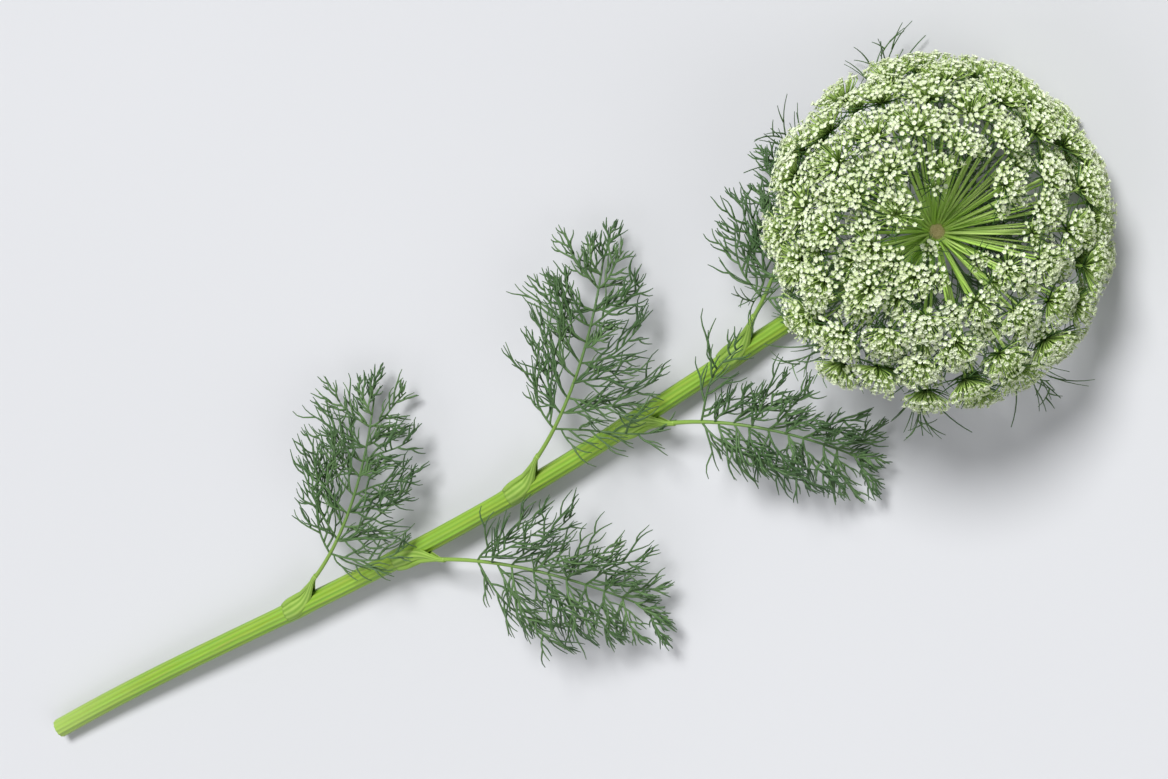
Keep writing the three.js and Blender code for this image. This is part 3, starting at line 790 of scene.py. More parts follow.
# Bractlets: threads from the knob of each ray that run out by reach * t under the flowers, turn up
# by lift * (t^1.7 + 0.1) and curl aside by curl * t^2.
def bractletShape(rng):
    form = bractletForm
    perRay = form["perRay"]
    scale = np.repeat(rays["scale"], perRay)
    ray = np.repeat(np.arange(len(rays["scale"])), perRay)
    step = np.tile(np.arange(perRay), len(rays["scale"])) + form["turnDraw"] * rng.random(len(ray))
    turn = 2 * np.pi * step / perRay
    outward = times(np.cos(turn), rayUp[ray]) + times(np.sin(turn), raySide[ray])
    across = np.cross(outward, rayHeading[ray])
    reach = scale * rng.uniform(*form["reach"], len(ray))
    lift = scale * rng.uniform(*form["lift"], len(ray))
    curl = rng.uniform(-form["curl"], form["curl"], len(ray))
    t = np.linspace(0, 1, form["points"])
    paths = rayEnd[ray][:, None] + np.einsum("f,t,fx->ftx", reach, t, outward)
    paths = paths + np.einsum("f,t,fx->ftx", lift, t**1.7 + 0.1, rayHeading[ray])
    paths = paths + np.einsum("f,t,fx->ftx", curl, t**2, across)
    paths[..., 2] = settle(paths[..., 2], form["aboveSurface"], 0.3)
    radii = np.broadcast_to(mix(form["root"], form["tip"], t), paths.shape[:2])
    marks = {"along": t, "pick": rng.random(len(ray))[:, None]}
    return tubes(paths, radii, form["sides"], across, marks)


petalLook = {
    "white": "#e5ecd6",
    "shade": "#c2cda4",  # of the greenest flowers
    "foot": "#cfdc9c",
    "bud": "#d3dfa8",
    "budShare": 0.6,
    "roughness": 0.62,
}


# White petal tissue, thin and matt: white with a breath of green that differs from flower to
# flower, and greener at a petal's foot and in bud.
def petalMaterial():
    look = petalLook
    values = {"Roughness": look["roughness"], "IOR": 1.4}
    material, tree, shader = startMaterial("whitePetalTissue", values)
    along, pick, bud = readMarks(tree, ["along", "pick", "bud"])
    whiteness = blend(tree, pick, colour(look["white"]), colour(look["shade"]))
    footShare = carry(tree, along, (0.0, 0.5), (0.5, 0.0))
    footed = blend(tree, footShare, whiteness, colour(look["foot"]))
    whole = blend(tree, multiply(tree, bud, look["budShare"]), footed, colour(look["bud"]))
    tree.links.new(whole, shader.inputs["Base Color"])
    return material


# Living green tissues, each with its greens at the root, at the tip and in the flecks.
greenTissues = {
    "freshRay": {  # bright, juicy and faintly glossy
        "greens": ["#b2da63", "#9cc452", "#dcec9f"],
        "fleckSize": 8.0,
        "roughness": 0.4,
    },
    # Painted shade: the pedicels are deep green at the root, where the flowers shade them.
    "thinPedicel": {  # deep green in the shade of the flowers, pale under them
        "greens": ["#4f7a1b", "#a1bf60", "#b6ce7a"],
        "fleckSize": 4.0,
        "roughness": 0.5,
    },
    "youngOvary": {  # dull green below, nearly white where it carries the petals
        "greens": ["#8db048", "#e3ecc0", "#b2ca70"],
        "fleckSize": 2.0,
        "roughness": 0.55,
    },
    "greyGreenBractlet": {  # dark and matt
        "greens": ["#3f6522", "#385a2c", "#5d823c"],
        "fleckSize": 4.0,
        "roughness": 0.55,
    },
    "darkBract": {  # grey-green and matt, darker at the tips
        "greens": ["#5b7a43", "#3c5836", "#6b8a5a"],
        "fleckSize": 6.0,
        "roughness": 0.55,
    },
    "waxyLeafThread": {  # dark, with the dull bloom of its wax
        "greens": ["#4c6b38", "#32502f", "#6b8a55"],
        "fleckSize": 6.0,
        "roughness": 0.5,
    },
}


# Smooth living green tissue: one green that turns into another along a part, and a third that comes
# through in soft flecks, more on some parts than on others. The flecks' size is in millimetres. They
# are coarse tones, because the skin's own cells are too fine to show.
def greenMaterial(name):
    look = greenTissues[name]
    material, tree, shader = startMaterial(name, {"Roughness": look["roughness"], "IOR": 1.42})
    along, pick = readMarks(tree, ["along", "pick"])
    flecks = addNoise(tree, readPlace(tree), 1000.0 / look["fleckSize"], 2.0).outputs["Fac"]
    root, tip, flecked = [colour(green) for green in look["greens"]]
    lengthwise = blend(tree, along, root, tip)
    whole = blend(tree, multiply(tree, pick, flecks), lengthwise, flecked)
    tree.links.new(whole, shader.inputs["Base Color"])
    addBump(tree, shader, flecks, 0.2, 0.0001)
    return material


stamenLook = {"filament": "#f6f8ea", "anther": "#f1ecd2", "roughness": 0.7}


# Stamens: smooth white filaments and cream anthers, dusty with pollen.
def stamenMaterial():
    look = stamenLook
    values = {"Roughness": look["roughness"], "IOR": 1.4}
    material, tree, shader = startMaterial("creamStamen", values)
    anther = readMarks(tree, ["anther"])[0]
    whole = blend(tree, anther, colour(look["filament"]), colour(look["anther"]))
    tree.links.new(whole, shader.inputs["Base Color"])
    return material


receptacleLook = {
    "rim": "#86a840",
    "pimples": "#c9b98a",
    "between": "#a5915f",
    "pimpleScale": 1700.0,  # 0.6 mm apart
    "roughness": 0.6,
}


# The receptacle's tissue: green and firm, with a pinkish brown, finely pimpled middle.
def receptacleMaterial():
    look = receptacleLook
    values = {"Roughness": look["roughness"], "IOR": 1.42}
    material, tree, shader = startMaterial("pimpledReceptacle", values)
    centre = readMarks(tree, ["centre"])[0]
    spots = {"Vector": readPlace(tree), "Scale": look["pimpleScale"]}
    pimples = addNode(tree, "ShaderNodeTexVoronoi", {}, spots).outputs["Distance"]
    browns = blend(tree, pimples, colour(look["pimples"]), colour(look["between"]))
    whole = blend(tree, centre, colour(look["rim"]), browns)
    tree.links.new(whole, shader.inputs["Base Color"])
    addBump(tree, shader, pimples, 0.5, 0.0002)
    return material


bractForm = {
    "count": 9,
    "length": 76,
    "lengthDraw": 10,
    "shortLength": 36,  # of those that the surface leaves little room
    "radius": 0.56,
    "tip": 0.2,
    "foot": 3.3,  # where they start, inside the collar
    "polar": 91,  # where they leave it, off the umbel's axis
    "sag": (16, 4, 34),  # how far they hang, and the radii between which they do
    "recover": (10, 64, 84),  # how far they turn up again, and where
    "underside": -0.7,  # cosine of the turn past which a bract lies under the umbel
    "turnDraw": 0.2,
    "curl": 0.3,
    "forks": [0.3, 0.48, 0.62, 0.7],  # where its lobes leave it
    "lobeLength": [14, 22, 15, 22],
    "lobeSide": [-1, 1, 1, -1],
    "lobeSpread": 0.26,  # of the longest lobes, the shorter ones spread less
    "lobeRadius": 0.8,  # share of their bract's
    "slightScale": 0.82,  # of the slighter bracts between them
    "slightRadius": 0.48,
    "laidLength": 58,  # of the slighter ones that lie on the surface
    "slightLift": 26,  # between the lowest and the highest, at their tips
    "fineForks": [0.09, 0.13, 0.165, 0.2, 0.23, 0.26, 0.33, 0.4, 0.46, 0.52, 0.58, 0.64]
    + [0.7, 0.76, 0.82, 0.88, 0.94],  # where the fine lobes leave it
    "fineLength": 18,
    "fineDraw": 0.8,
    "fineAside": 9,  # how far a fine lobe ends beside its bract
    "fineAsideDraw": 7,
    "fineRadius": 0.41,
    "fineTip": 0.15,
    "fineLift": 40,  # how far they leave the others, up or down
    "pastEnd": 2,  # how far a fine lobe reaches past its bract
    "tiplets": [(0.25, -0.5), (0.5, 0.5)],  # where they leave a fine lobe, and how far they spread
    "tipletShare": 0.5,  # length of a tiplet, to its lobe's
    "tipletDraws": [0, 0.12],  # of their spread
    "tipletLiftDraw": 1.2,
    "aboveSurface": 1.1,
}


# A point of a bract: a radius, a polar angle that hangs by smooth steps less a lift, and a turn,
# round the collar.
def bractPoint(radius, turn, lift=0.0):
    form = bractForm
    drop = receptacleForm["bottom"] + seatGap + collarForm["thickness"] / 2
    sag, sagFrom, sagTo = form["sag"]
    recover, upFrom, upTo = form["recover"]
    polar = form["polar"] + sag * smooth(radius, sagFrom, sagTo) - recover * smooth(radius, upFrom, upTo)
    polar = np.radians(polar) - lift
    point = hub - drop * hubHeading + times(radius, fromHub(polar, turn))
    point[..., 2] = settle(point[..., 2], form["aboveSurface"], 0.5)
    return point


# 0.65 t + 0.35 t^2, which bends a little more towards the end.
def bowed(t):
    return 0.65 * t + 0.35 * t * t


# Threads on the cone of bracts, each from a radius and a turn outwards by its reach. They turn away
# by bowed(t) of their spread, and leave the cone evenly from one lift to the other.
def bractThreads(start, reach, turn, spread, lifts, root, tip, steps, sides):
    t = np.linspace(0, 1, steps)
    radius = start[:, None] + reach[:, None] * t
    turns = turn[:, None] + spread[:, None] * bowed(t)
    paths = bractPoint(radius, turns, mix(lifts[0][:, None], lifts[1][:, None], t))
    guide = fromHub(np.pi / 2 + 0 * turn, turn + np.pi / 2)
    marks = {"along": t, "pick": draw(np.arange(len(start)), 9)[:, None] + 0.5}
    return tubes(paths, mix(root[:, None], tip, t), sides, guide, marks)


# Bracts: one thread each, forked lobes to both sides, and finer lobes with two tiplets. Every third
# is a full one, as in the solid, and the two after it are slighter.
def bractShape():
    form = bractForm
    i = np.arange(3 * form["count"]) / 3
    slight = i % 1 > 0.1
    turn = (i + 0.5) * 2 * np.pi / form["count"] + form["turnDraw"] * draw(i, 50)
    underside = np.cos(turn) < form["underside"]
    length = form["length"] + form["lengthDraw"] * draw(i, 51)
    length = np.where(underside, form["shortLength"], length)
    length = length * np.where(slight, form["slightScale"], 1)
    laid = form["laidLength"] + form["lengthDraw"] * draw(i, 54)
    length = np.where(underside & slight, laid, length)
    thick = np.where(slight, form["slightRadius"], form["radius"])
    curl = form["curl"] * draw(i, 52)
    inner = collarForm["radius"]
    foot = form["foot"] + 0 * i
    rise = np.radians(form["slightLift"]) * slight * draw(i, 53)
    shapes = [bractThreads(foot, length - foot, turn, curl, [0 * i, rise], thick, form["tip"], 16, 6)]

    main = np.flatnonzero(~underside & ~slight)
    for share, lobeLength, lobeSide in zip(form["forks"], form["lobeLength"], form["lobeSide"]):
        hand = np.where(i[main] % 2, -lobeSide, lobeSide)
        start = mix(inner, length[main], share)
        reach = np.full(len(main), lobeLength)
        base = turn[main] + curl[main] * share**2
        spread = form["lobeSpread"] * hand * lobeLength / max(form["lobeLength"])
        level = [0 * reach, 0 * reach]
        root = form["lobeRadius"] * thick[main]
        shapes.append(bractThreads(start, reach, base, spread, level, root, form["tip"], 12, 5))

    root = np.full(len(i), form["fineRadius"])
    tip = form["fineTip"]
    for k, share in enumerate(form["fineForks"]):
        hand = np.where((np.round(3 * i) + k) % 2, 1, -1)
        start = mix(inner, length, share)
        reach = form["fineLength"] * (1 + form["fineDraw"] * draw(i, 60 + k))
        reach = np.minimum(reach, length + form["pastEnd"] - start)
        base = turn + curl * share**2
        aside = form["fineAside"] + form["fineAsideDraw"] * draw(i, 75 + k)
        spread = hand * aside / (start + 0.5 * reach)
        low = rise * share
        high = low + np.radians(form["fineLift"]) * draw(i, 90 + k)
        shapes.append(bractThreads(start, reach, base, spread, [low, high], root, tip, 8, 3))
        for (fork, away), wander in zip(form["tiplets"], form["tipletDraws"]):
            forkStart = start + fork * reach
            forkTurn = base + spread * bowed(fork)
            forkReach = form["tipletShare"] * reach
            forkSpread = away * spread + wander * draw(i, 110 + k)
            end = 0.5 + form["tipletLiftDraw"] * draw(i, 130 + k)
            lifts = [mix(low, high, fork), mix(low, high, end)]
            shapes.append(
                bractThreads(forkStart, forkReach, forkTurn, forkSpread, lifts, root, tip, 6, 3)
            )
    return gather(shapes)


# The collar that the bracts grow from: a lathe with a rounded rim, radius * cos^0.35 at heights of
# half its thickness * sin.
def collarShape():
    form = collarForm
    turn = np.linspace(-0.5 * np.pi, 0.5 * np.pi, 14)[1:-1]
    radii = form["radius"] * np.cos(turn) ** 0.35
    middle = receptacleForm["bottom"] + seatGap + form["thickness"] / 2
    heights = 0.5 * form["thickness"] * np.sin(turn) - middle
    return onAxis(radii, heights, form["sides"], {"along": 0 * turn, "pick": 0 * turn})


leafForm = {
    "stalkRadius": 1.15,
    "stalkTip": 0.4,
    "stalkSteps": 27,
    "pairsFrom": 0.3,  # shares of the stalk between which the side branches grow
    "pairsTo": 0.88,
    "lastPair": (0.93, 0.985),  # where the last two grow, of which one ends the leaf
    "lastShare": 0.15,  # length of those, to the leaf's
    "lastWidth": 0.4,  # how far they open, to the others
    "branchShare": (0.4, 0.2),  # length of the first and last branch, to the leaf's
    "branchDraw": 0.3,
    "betweenLength": 0.75,  # of the branches between the solid's own, to those
    "betweenDraw": 0.4,
    "shiftDraw": 0.035,  # how far those shift along the stalk
    "branchRadius": 0.5,
    "branchOpens": 58,
    "openDraw": 16,
    "branchCloses": 30,
    "closeDraw": 40,
    "branchRises": (14, 36),  # the solid's own, and those between them
    "riseDraw": 24,
    "branchDroops": -0.5,  # radians, at its tip
    "lobesAt": [0.07, 0.14, 0.24, 0.34, 0.44, 0.54, 0.64, 0.74, 0.84, 0.92],
    "lobeDraws": [8, 2, 3, 0, 4, 5, 1, 6, 7, 9],  # the solid has those of draws 0 and 1
    "lobeShare": 0.6,
    "longestLobe": 19,
    "shorter": (0.95, 0.5),  # of the lobes at the foot and at the tip of a branch
    "lengthDraw": 0.4,
    "lobeRadius": 0.5,
    "lobeOpens": 38,
    "lobeOpenDraw": 20,
    "lobeRises": 10,
    "lobeRiseDraws": (90, 50),  # of the finer lobes, and of the solid's own
    "lobeBends": 28,
    "lobeDroops": -0.3,
    "tipletsAt": [0.3, 0.55],
    "tipletShare": 0.55,
    "tipletDraw": 0.5,
    "tipletOpens": 32,
    "tipletOpenDraw": 24,
    "tipletCloses": 0.5,  # radians
    "tipletRiseDraw": 60,
    "tipletRadius": 0.45,
    "tip": 0.18,
    "aboveSurface": 1.1,
    "softness": 1.3,
}
sheathForm = {
    "length": 17,
    "from": -4.2,  # its foot and its tip, along the stem from the leaf's own place
    "to": 24,
    "claspsTo": 0.35,  # share of its length where the stalk leaves the stem's skin
    "stalkFrom": 0.45,  # and where its own curve begins
    "wrap": (112, 128),  # to either side, at its foot and its tip
    "parts": (0.15, 0.95),  # shares of its length between which it leaves the stem for the stalk
    "sunk": (0.3, 0.25),  # how deep its inner side lies in the stem and in the stalk
    "thickness": 0.95,
    "edge": 0.15,
    "fullFrom": 0.25,  # share of its length where it is as thick
    "tipShare": 0.05,  # what is left of that at its tip
    "veins": 8,
    "veinHeight": 0.1,
    "across": 49,
    "along": 34,
}


# Curves that start at points and bend evenly between two headings and two tilts, in radians, with a
# small sine wave to the side, and settle on the surface: equal steps in those directions, added up.
def sprigs(start, length, headings, tilts, steps, wave=0.0):
    t = (np.arange(steps) + 0.5) / steps
    phase = 40 * (start[:, 0] + 1.7 * start[:, 1])[:, None]
    heading = mix(headings[0][:, None], headings[1][:, None], t) + wave * np.sin(5 * t + phase)
    tilt = mix(tilts[0][:, None], tilts[1][:, None], t) + 0.5 * wave * np.cos(6 * t + phase)
    move = np.stack([np.cos(tilt) * np.sin(heading), np.cos(tilt) * np.cos(heading), np.sin(tilt)], -1)
    path = start[:, None] + np.cumsum(times(length[:, None] / steps, move), axis=1)
    path[..., 2] = settle(path[..., 2], leafForm["aboveSurface"], leafForm["softness"])
    return np.concatenate([start[:, None], path], axis=1)


# The points of paths at a share of each one's length, by the nearest two of its points.
def pointAt(paths, share):
    steps = paths.shape[1] - 1
    place = np.clip(np.broadcast_to(share, len(paths)) * steps, 0, steps - 1e-6)
    low = np.floor(place).astype(int)
    rows = np.arange(len(paths))
    return mix(paths[rows, low], paths[rows, low + 1], (place - low)[:, None])


# Threads of one leaf as tubes: the radius falls from root to tip by t^1.6.
def threads(paths, root, tip, sides, tone):
    t = np.linspace(0, 1, paths.shape[1])
    radii = np.broadcast_to(mix(root, tip, t**1.6), paths.shape[:2])
    guide = np.broadcast_to(np.array([0.0, 0, 1]), (len(paths), 3))
    pick = draw(np.arange(len(paths)), round(100 * root))[:, None] + 0.5
    marks = {"along": mix(tone[0], tone[1], t), "pick": pick, "sheath": 0.0}
    return tubes(paths, radii, sides, guide, marks)


# The sheath: a curved plate that clasps the stem at its foot and the stalk at its tip. Its cross
# sections are arcs whose middle moves by a smooth step from the stem's line to the stalk's, while
# their radius falls from the one's to the other's. They thin as the fourth power towards the edges.
def sheathShape(leaf, path):
    form = sheathForm
    t = np.linspace(0, 1, form["along"])
    s = leaf["at"] + mix(form["from"], form["to"], t)
    stemPlace, heading, side, up = stemAt(s)
    along = np.concatenate([[0], np.cumsum(np.linalg.norm(np.diff(path, axis=0), axis=1))])
    stalkPlace = np.stack([np.interp(s - s[0], along, column) for column in path.T], -1)
    moved = smooth(t, *form["parts"])
    place = mix(stemPlace, stalkPlace, moved[:, None])
    lean = math.radians(leaf["side"] * leaf["lean"])
    outward = math.cos(lean) * up + math.sin(lean) * side
    heading = unit(np.gradient(place, axis=0))
    outward = unit(outward - times((outward * heading).sum(axis=1), heading))
    across = np.cross(heading, outward)
    inStem, inStalk = form["sunk"]
    inner = mix(stemRadius(s) - inStem, leafForm["stalkRadius"] - inStalk, moved)[:, None]
    v = np.linspace(-1, 1, form["across"])
    angle = np.radians(mix(*form["wrap"], moved))[:, None] * v
    swelling = smooth(t, 0, form["fullFrom"])[:, None] * mix(1, form["tipShare"], moved)[:, None]
    veins = form["veinHeight"] * np.cos(form["veins"] * np.pi * v)
    outer = inner + mix(form["thickness"] + veins, form["edge"], v**4) * swelling + inStem
    angle = np.concatenate([angle, angle[:, ::-1]], axis=1)
    radius = np.concatenate([outer, np.broadcast_to(inner, outer.shape)], axis=1)
    rings = place[:, None] + times(radius * np.cos(angle), outward[:, None])
    rings = (rings + times(radius * np.sin(angle), across[:, None]))[:, ::-1]
    marks = {"along": t, "pick": 0.5, "sheath": 1.0}
    shape = loft(rings[None], rings[0].mean(axis=0)[None], rings[-1].mean(axis=0)[None], marks)
    pale = np.maximum(0.5 + 0.5 * np.cos(form["veins"] * np.pi * v), v**12)
    pale = np.concatenate([pale, pale[::-1]])[::-1]
    shape["marks"]["pick"] = np.concatenate([np.tile(pale, len(t)), [0, 0]])
    return shape


# The stalk as a tube that tapers evenly, thick and pale where it leaves the sheath.
def petioleShape(path):
    t = np.linspace(0, 1, path.shape[1])
    taper = mix(leafForm["stalkRadius"], leafForm["stalkTip"], t)
    taper = taper + 0.5 * np.exp(-8 * t) * smooth(t, 0, 0.1)
    guide = np.array([[0.0, 0, 1]])
    marks = {"along": 0.3 * t, "pick": 0.5, "sheath": 1 - smooth(t, 0.25, 0.85)}
    return tubes(path, taper[None], 10, guide, marks)


# A leaf's stalk with its headings, and the same curve with its clasped foot before it, which comes up
# through the stem's skin by a share^0.7.
def leafStalk(leaf):
    form = leafForm
    lean = math.radians(leaf["side"] * leaf["lean"])
    foot = leaf["at"] + sheathForm["stalkFrom"] * sheathForm["length"]
    place, heading, side, up = stemAt(foot)
    out = stemRadius(foot) + seatGap + form["stalkRadius"] + 0.1
    start = place + out * (math.cos(lean) * up + math.sin(lean) * side)
    ahead = math.atan2(heading[0], heading[1])
    headings = [np.array([ahead + math.radians(leaf["side"] * angle)]) for angle in leaf["open"]]
    tilts = [np.array([math.radians(angle)]) for angle in leaf["tilt"]]
    stalk = sprigs(start[None], np.array([leaf["length"]]), headings, tilts, form["stalkSteps"])
    t = np.linspace(0, 1, 8)
    clasped = leaf["at"] + mix(sheathForm["from"], sheathForm["claspsTo"] * sheathForm["length"], t)
    place, heading, side, up = stemAt(clasped)
    seat = stemRadius(clasped) + seatGap + mix(-0.6, form["stalkRadius"], t**0.7)
    ridge = place + times(seat, math.cos(lean) * up + math.sin(lean) * side)
    return stalk, headings, np.concatenate([ridge[None], stalk], axis=1)


# Side branches in pairs, the solid's own and one pair between each two: their curves, their lengths,
# their headings at both ends, and a number for each that seeds its draws. The last pair ends the leaf.
def layBranches(leaf, number, stalk, headings):
    form = leafForm
    pair = np.tile(np.arange(2 * leaf["pairs"]) / 2, 2)
    hand = np.repeat([-1, 1], 2 * leaf["pairs"])
    between = pair % 1 > 0
    share = pair / (leaf["pairs"] - 1)
    seed = number * 100 + pair * 10 + hand
    t = mix(form["pairsFrom"], form["pairsTo"], share) + form["shiftDraw"] * between * draw(seed, 64)
    length = leaf["length"] * mix(*form["branchShare"], share)
    length = length * (1 + form["branchDraw"] * draw(seed, 60))
    slighter = form["betweenLength"] + form["betweenDraw"] * draw(seed, 65)
    length = np.where(between, slighter, 1.0) * length
    last = t > form["pairsTo"] + 0.03
    t = np.where(last, mix(*form["lastPair"], hand > 0), t)
    length = np.where(last, form["lastShare"] * leaf["length"], length)
    middle = mix(headings[0], headings[1], t)
    wide = hand * np.where(last, form["lastWidth"], 1)
    opens = math.radians(form["branchOpens"]) + math.radians(form["openDraw"]) * draw(seed, 61)
    closes = math.radians(form["branchCloses"]) + math.radians(form["closeDraw"]) * draw(seed, 62)
    opening = middle + wide * opens
    closing = middle + wide * closes
    tilt = np.radians(mix(*form["branchRises"], between) + form["riseDraw"] * draw(seed, 63))
    droop = np.full(len(t), form["branchDroops"])
    foot = pointAt(np.repeat(stalk, len(t), axis=0), t)
    return {
        "paths": sprigs(foot, length, [opening, closing], [tilt, droop], 10, 0.18),
        "length": length,
        "opening": opening,
        "closing": closing,
        "seed": seed,
    }


# Lobes to both sides along the branches, and two short tiplets on each lobe. They shorten evenly
# towards the tip of a branch, except for the solid's own two.
def lobeThreads(branches):
    form = leafForm
    seed = branches["seed"]
    sag = np.full(len(seed), form["lobeDroops"])
    parts = []
    for at, k in zip(form["lobesAt"], form["lobeDraws"]):
        own = k < 2
        turn = np.where((k + np.floor(seed)) % 2 > 0, 1, -1)
        away = mix(branches["opening"], branches["closing"], at)
        away = away + turn * np.radians(form["lobeOpens"] + form["lobeOpenDraw"] * draw(seed, 70 + k))
        bent = away - turn * math.radians(form["lobeBends"])
        reach = np.minimum(branches["length"] * form["lobeShare"], form["longestLobe"])
        reach = reach * (1 + form["lengthDraw"] * draw(seed, 75 + k))
        reach = reach * (1 if own else mix(*form["shorter"], at))
        rise = np.radians(form["lobeRises"] + form["lobeRiseDraws"][own] * draw(seed, 80 + k))
        lobes = sprigs(pointAt(branches["paths"], at), reach, [away, bent], [rise, sag], 7, 0.2)
        parts.append(threads(lobes, form["lobeRadius"], form["tip"], 4, (0.4, 1.0)))
        for m, tipletAt in enumerate(form["tipletsAt"]):
            fork = 1 if (m + k) % 2 else -1
            n = 3 * k + m
            opens = np.radians(form["tipletOpens"] + form["tipletOpenDraw"] * draw(seed, 90 + n))
            opening = mix(away, bent, tipletAt) + fork * opens
            slope = rise * 0.3 + np.radians(form["tipletRiseDraw"]) * draw(seed, 110 + n)
            tiplets = sprigs(
                pointAt(lobes, tipletAt),
                form["tipletShare"] * reach * (1 + form["tipletDraw"] * draw(seed, 130 + n)),
                [opening, opening - fork * form["tipletCloses"]],
                [slope, sag],
                4,
                0.2,
            )
            parts.append(threads(tiplets, form["tipletRadius"], form["tip"], 3, (0.5, 1.0)))
    return parts


# A leaf cut three times into threads: its sheath, its stalk, and the branches with their lobes.
def leafShape(leaf, number):
    form = leafForm
    stalk, headings, petiole = leafStalk(leaf)
    branches = layBranches(leaf, number, stalk, headings)
    branchTubes = threads(branches["paths"], form["branchRadius"], form["tip"] + 0.1, 5, (0.2, 0.7))
    parts = [sheathShape(leaf, petiole[0]), petioleShape(petiole), branchTubes]
    return gather(parts + lobeThreads(branches))


sheathLook = {"grooves": "#6c9030", "veins": "#95b352"}


# Leaf tissue: dark grey-green threads with a dull wax bloom, lighter at their tips, and a paler,
# striped sheath where the leaf clasps the stem.
def leafMaterial():
    material = greenMaterial("waxyLeafThread")
    tree = material.node_tree
    shader = tree.nodes["Principled BSDF"]
    sheath, pick = readMarks(tree, ["sheath", "pick"])
    threadGreen = shader.inputs["Base Color"].links[0].from_socket
    veined = blend(tree, pick, colour(sheathLook["grooves"]), colour(sheathLook["veins"]))
    whole = blend(tree, sheath, threadGreen, veined)
    tree.links.new(whole, shader.inputs["Base Color"])
    return material


# The camera looks down on the laid stem from nearly straight over the umbel's face, and is turned
# so that the stem runs from the umbel at the upper right to its cut end at the lower left.
cameraForm = {
    "elevation": 63,
    "lens": 85,
    "sensor": 36,
    "stemTurn": 30,  # of the stem in the picture, off the horizontal
    "pictureWidth": 1168,
    "pictureHeight": 779,
    "margin": 1.1,  # room round the plant
    "rounds": 6,  # of centring, which then moves no more
}


# Puts a camera or a light in the scene, with its three axes and its place.
def setUp(thing, axes, place):
    matrix = np.eye(4)
    matrix[:3] = np.stack([*axes, place], -1)
    thing.matrix_world = [list(column) for column in matrix.T]
    bpy.context.scene.collection.objects.link(thing)


# All points of the solids, in metres.
def solidPoints():
    clouds = []
    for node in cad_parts.values():
        cloud = np.zeros(3 * len(node.data.vertices))
        node.data.vertices.foreach_get("co", cloud)
        clouds.append(cloud.reshape(-1, 3))
    return np.concatenate(clouds)


# The camera, and the picture's own axes: right, up and back to the camera, with the stem turned off
# the horizontal. It is moved over the middle of the solids as it sees them, across / distance, and
# just far enough off to hold them.
def addCamera():
    form = cameraForm
    elevation = math.radians(form["elevation"])
    back = np.array([0, math.cos(elevation), math.sin(elevation)])
    stemAway = unit(np.array([0.0, 1, 0]) - back[1] * back)
    across = np.cross(back, stemAway)
    turn = math.radians(form["stemTurn"])
    right = math.cos(turn) * stemAway - math.sin(turn) * across
    upward = math.sin(turn) * stemAway + math.cos(turn) * across
    axes = np.stack([right, upward, back])
    seen = solidPoints() @ axes.T
    stand = np.array([0, 0, 1.5])
    for _ in range(form["rounds"]):
        spread = (seen[:, :2] - stand[:2]) / (stand[2] - seen[:, 2:])
        low, high = spread.min(axis=0), spread.max(axis=0)
        stand[:2] += (low + high) / 2 * stand[2]
        width, height = high - low
        side = max(width, height * form["pictureWidth"] / form["pictureHeight"])
        stand[2] *= side * form["margin"] * form["lens"] / form["sensor"]
    camera = bpy.data.objects.new("camera", bpy.data.cameras.new("camera"))
    camera.data.lens = form["lens"]
    camera.data.sensor_width = form["sensor"]
    setUp(camera, axes, axes.T @ stand)
    bpy.context.scene.camera = camera
    return axes


# Where each light stands along the picture's own axes, how wide it is as the angle that it fills, and
# its strength.
lightForm = {
    "keyLight": {"from": (-0.7, 0.8, 1.6), "width": 21, "strength": 3.75},
    "fillLight": {"from": (0.9, -0.8, 1.4), "width": 42, "strength": 0.72},
    "bounceLight": {"from": (-0.9, -0.87, 0.2), "width": 60, "strength": 0.7},
}


# A broad studio light, far enough off to light the floor evenly, turned to shine on the plant.
def addLight(name, axes):
    form = lightForm[name]
    light = bpy.data.objects.new(name, bpy.data.lights.new(name, "SUN"))
    light.data.angle = math.radians(form["width"])
    light.data.energy = form["strength"]
    direction = unit(form["from"] @ axes)
    side = unit(np.cross(axes[1], direction))
    setUp(light, [side, np.cross(direction, side), direction], 2 * direction)


floorForm = {
    "half": 4.0,  # metres
    "colours": ["#c6c7ca", "#c2c3c6"],
    "cloudScale": 3.0,  # clouds a third of a metre across
}


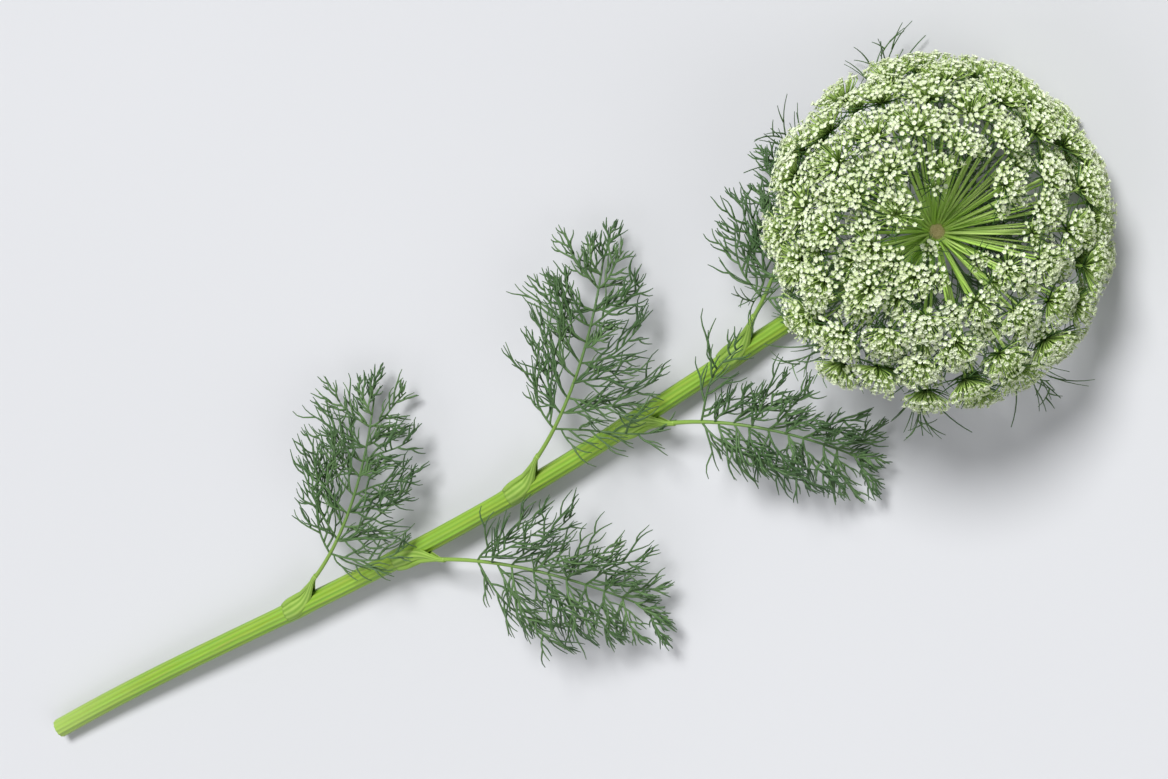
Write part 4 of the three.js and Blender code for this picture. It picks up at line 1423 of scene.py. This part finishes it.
# A plain pale studio floor: painted board, matt, with the faintest broad clouds in its paint.
def addFloor():
    half = floorForm["half"]
    corners = [(-half, -half, 0), (half, -half, 0), (half, half, 0), (-half, half, 0)]
    mesh = bpy.data.meshes.new("floor")
    mesh.from_pydata(corners, [], [(0, 1, 2, 3)])
    material, tree, shader = startMaterial("paleStudioBoard", {"Roughness": 0.8})
    cloud = addNoise(tree, readPlace(tree), floorForm["cloudScale"], 2.0).outputs["Fac"]
    light, dark = [colour(tone) for tone in floorForm["colours"]]
    tree.links.new(blend(tree, cloud, light, dark), shader.inputs["Base Color"])
    mesh.materials.append(material)
    floor = bpy.data.objects.new("floor", mesh)
    bpy.context.scene.collection.objects.link(floor)


airForm = {"colour": "#eef0f4", "asLight": 0.26, "asSeen": 0.93}


# The air of a pale studio: a wall as light as the floor where it is seen, and dim as a light.
def addWorld():
    world = bpy.data.worlds.new("studioAir")
    bpy.context.scene.world = world
    world.use_nodes = True
    tree = world.node_tree
    background = tree.nodes["Background"]
    background.inputs["Color"].default_value = colour(airForm["colour"])
    seen = addNode(tree, "ShaderNodeLightPath", {}, {}).outputs["Is Camera Ray"]
    strength = carry(tree, seen, (0.0, 1.0), (airForm["asLight"], airForm["asSeen"]))
    tree.links.new(strength, background.inputs["Strength"])


stemSkin = stemShape()
shift = findShift(stemSkin["points"])
print("stem traced, shift", shift.round(3))
makePiece("ribbed_stem", "stem", stemSkin, stemMaterial())

makePiece("rays", "umbel", rayShape(), greenMaterial("freshRay"))
makePiece("receptacle", "umbel", receptacleShape(), receptacleMaterial())
petalWhite = petalMaterial()
for third in range(3):
    chosen = np.flatnonzero(flowers["ray"] % 3 == third)
    makePiece(f"petals_{third + 1}", "umbel", petalShape(chosen), petalWhite, faceted=True)
makePiece("ovaries", "umbel", ovaryShape(), greenMaterial("youngOvary"))
makePiece("pedicels", "umbel", pedicelShape(), greenMaterial("thinPedicel"))
makePiece("stamens", "umbel", stamenShape(np.random.default_rng(5)), stamenMaterial())
bractletThreads = bractletShape(np.random.default_rng(6))
makePiece("bractlets", "umbel", bractletThreads, greenMaterial("greyGreenBractlet"))
print("umbel made,", len(flowers["ray"]), "flowers")

bractWhorl = gather([collarShape(), bractShape()])
makePiece("bracts_whorl", "bracts", bractWhorl, greenMaterial("darkBract"))
leafGreen = leafMaterial()
for number, leaf in enumerate(leafRows, 1):
    makePiece(f"leaf_threads_{number}", f"leaf_{number}", leafShape(leaf, number), leafGreen)
print("leaves made")

axes = addCamera()
addFloor()
addWorld()
for name in lightForm:
    addLight(name, axes)
bpy.context.scene.view_settings.view_transform = "Standard"
